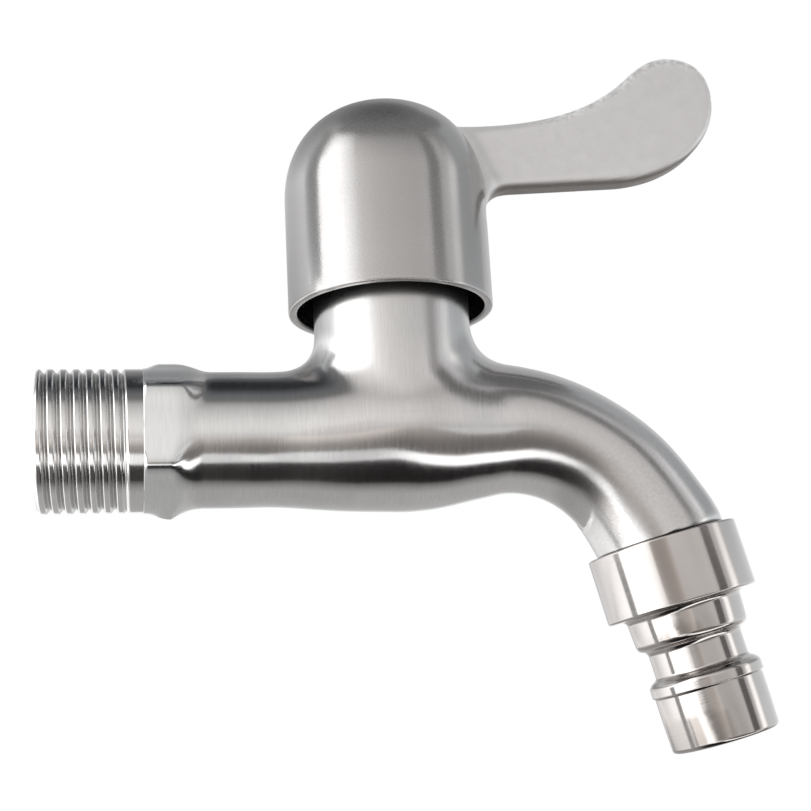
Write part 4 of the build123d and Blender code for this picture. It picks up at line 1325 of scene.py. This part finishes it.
# %% The strips' edges, which bend so that the bands dip between the chamber and the bend
floor_x = (-0.15, -0.1, -0.04, 0.0, 0.02, 0.034, 0.046, 0.1, 0.135, 0.3)
white_from = (-0.19, -0.19, -0.2, -0.182, -0.17, -0.165, -0.142, -0.108, -0.088, -0.088)
dark_from = (-0.112, -0.112, -0.11, -0.1, -0.098, -0.102, -0.094, -0.055, -0.038, -0.038)
dark_to = (-0.033, -0.033, -0.033, -0.028, -0.018, -0.01, -0.008, 0.006, 0.01, 0.01)
grey_from = (0.02, 0.02, 0.02, 0.02, 0.025, 0.03, 0.035, 0.05, 0.06, 0.06)

# %% The studio's cards, each of which stands a little nearer than the one before it
card("ceiling", (0.035, 0.037, 0.04), (-180, 180), (64, 90), up=(6, 4.2, 3, 1.3, 0.9, 0.9))
card("ceiling front", (0.2, 0.203, 0.207), (-125, 125), (53, 66), up=(1.15, 1.05, 1))
card("left back wall", (0.98, 0.99, 1.0), (-180, -90), (-12, 64), across=(0.85, 0.95, 1.25, 1.8, 2.6),
     up=(1.4, 1.2, 0.45, 0.95, 0.55, 0.36, 0.25))
card("right back wall", (0.98, 0.99, 1.0), (118, 180), (-12, 64), across=(0.85, 0.9, 0.75, 0.5),
     up=(1.5, 1.3, 1, 0.95, 0.72, 0.65))
card("front wall", (1.01, 0.99, 0.975), (-48, 37), (-9, 55),
     across=(1.75, 1.47, 1.23, 1.1, 1.02, 0.94, 1.02), up=(0.75, 1.03, 1.05, 0.98, 0.87, 0.74, 0.58, 0.2))
card("left soft box", (1.0, 1.0, 1.0), (-97, -38), (-12, 55), -0.3, across=(3.3, 3.3, 3.3, 1.6),
     up=(0.85, 1, 1, 1, 1, 1, 0.5))
card("brown post", (1.0, 0.92, 0.87), (-37, -9), (-12, 4), across=(0.75, 0.6, 0.6, 0.65, 0.95))
card("left upper flag", (1.0, 1.0, 1.0), (-114, -80), (36, 57),
     across=(0.75, 0.6, 0.5, 0.6, 0.8, 1.2, 1.9, 2.8), up=(1.25, 1.05, 0.9, 0.75, 0.6))
card("right wall", (0.92, 0.92, 0.93), (53, 66), (-12, 54), up=(1, 1, 1, 1, 1, 0.9, 0.3))
card("right light", (1.7, 1.7, 1.7), (64, 80), (-12, 56), across=(0.6, 1, 1, 0.5),
     up=(1.35, 1.35, 1.35, 1.35, 1.3, 0.8, 0.75, 0.95, 0.75, 0.55, 0.4, 0.3, 0.25, 0.25))
card("far right wall", (0.6, 0.63, 0.65), (80, 120), (-12, 54), up=(1.9, 1.9, 1.7, 0.85, 0.95, 1, 1))
card("right flag", (0.23, 0.22, 0.22), (41, 56), (-12, 56), -0.12,
     up=(1, 1, 1, 1, 1.2, 2.6, 1.8, 1, 1, 1, 1, 1, 1, 1))
near_flag("left flag", (0.38, 0.39, 0.395), (-92, -74), 0.036, (0.0295, 0.075),
          across=(2.3, 1.7, 1.2, 1, 1, 1), up=(2.2, 1.3, 1.1, 1, 1, 1, 1, 1))
fan("left back floor", (0.98, 0.99, 1.0), (-180, -96), (0.2, 0.6), 0.0008, across=(0.8, 1.1, 1.5, 2.2, 2.5))
fan("left soft floor", (1.0, 1.0, 1.0), (-96, -38), (0.14, 0.6), 0.0012, across=(3.3, 3.3, 3.3, 1.6))
fan("left flag floor", (0.55, 0.56, 0.565), (-102, -91), (0.14, 0.6), 0.0026)
strip("strip under", (0.55, 0.545, 0.54), grey_from, 0.92,
      across=(3.2, 2.6, 1.1, 0.97, 0.97, 1.0, 1.15, 1.2, 1.15, 1.15))
strip("strip near under", (0.55, 0.545, 0.54), dark_to, grey_from,
      across=(3.2, 2.6, 1.0, 0.97, 0.97, 1.0, 1.15, 1.2, 1.15, 1.15), along=(0.25, 0.6, 0.85, 1))
strip("strip dark", (1.0, 0.95, 0.92), dark_from, dark_to,
      across=(1.8, 1.5, 0.25, 0.04, 0.04, 0.02, 0.018, 0.018, 0.02, 0.02))
strip("strip white", (1.0, 1.0, 1.0), white_from, dark_from,
      across=(2.7, 2.7, 2.3, 1.35, 0.85, 1.15, 1.9, 2.3, 2.3, 2.3))
strip("strip warm", (1.0, 0.93, 0.88), -0.76, white_from,
      across=(1.6, 1.6, 1.6, 1.9, 1.4, 1.05, 1.0, 1.0, 1.0, 1.0),
      along=(0.75, 0.7, 0.62, 0.55, 0.44, 0.28, 0.2))
print(len(cards), "cards")


# %% Two soft lamps, at a strength that with the world renders a colour about as it is written
def soft_lamp(name, place, size, radiance):
    """Area lamp that looks at the tap: power = pi * area * radiance."""
    data = bpy.data.lights.new(name, "AREA")
    data.shape = "RECTANGLE"
    data.size, data.size_y = size
    data.energy = math.pi * size[0] * size[1] * radiance
    lamp = bpy.data.objects.new(name, data)
    lamp.location = place
    lamp.rotation_euler = (Vector((middle_x, 0, 0)) - Vector(place)).to_track_quat("-Z", "Y").to_euler()
    lamp.visible_glossy = False
    bpy.context.scene.collection.objects.link(lamp)


soft_lamp("key lamp", (-0.45, -0.35, 0.6), (0.5, 0.5), 0.7)
soft_lamp("fill lamp", (0.5, -0.3, 0.45), (0.4, 0.4), 0.35)

bpy.context.scene.view_settings.view_transform = "Standard"
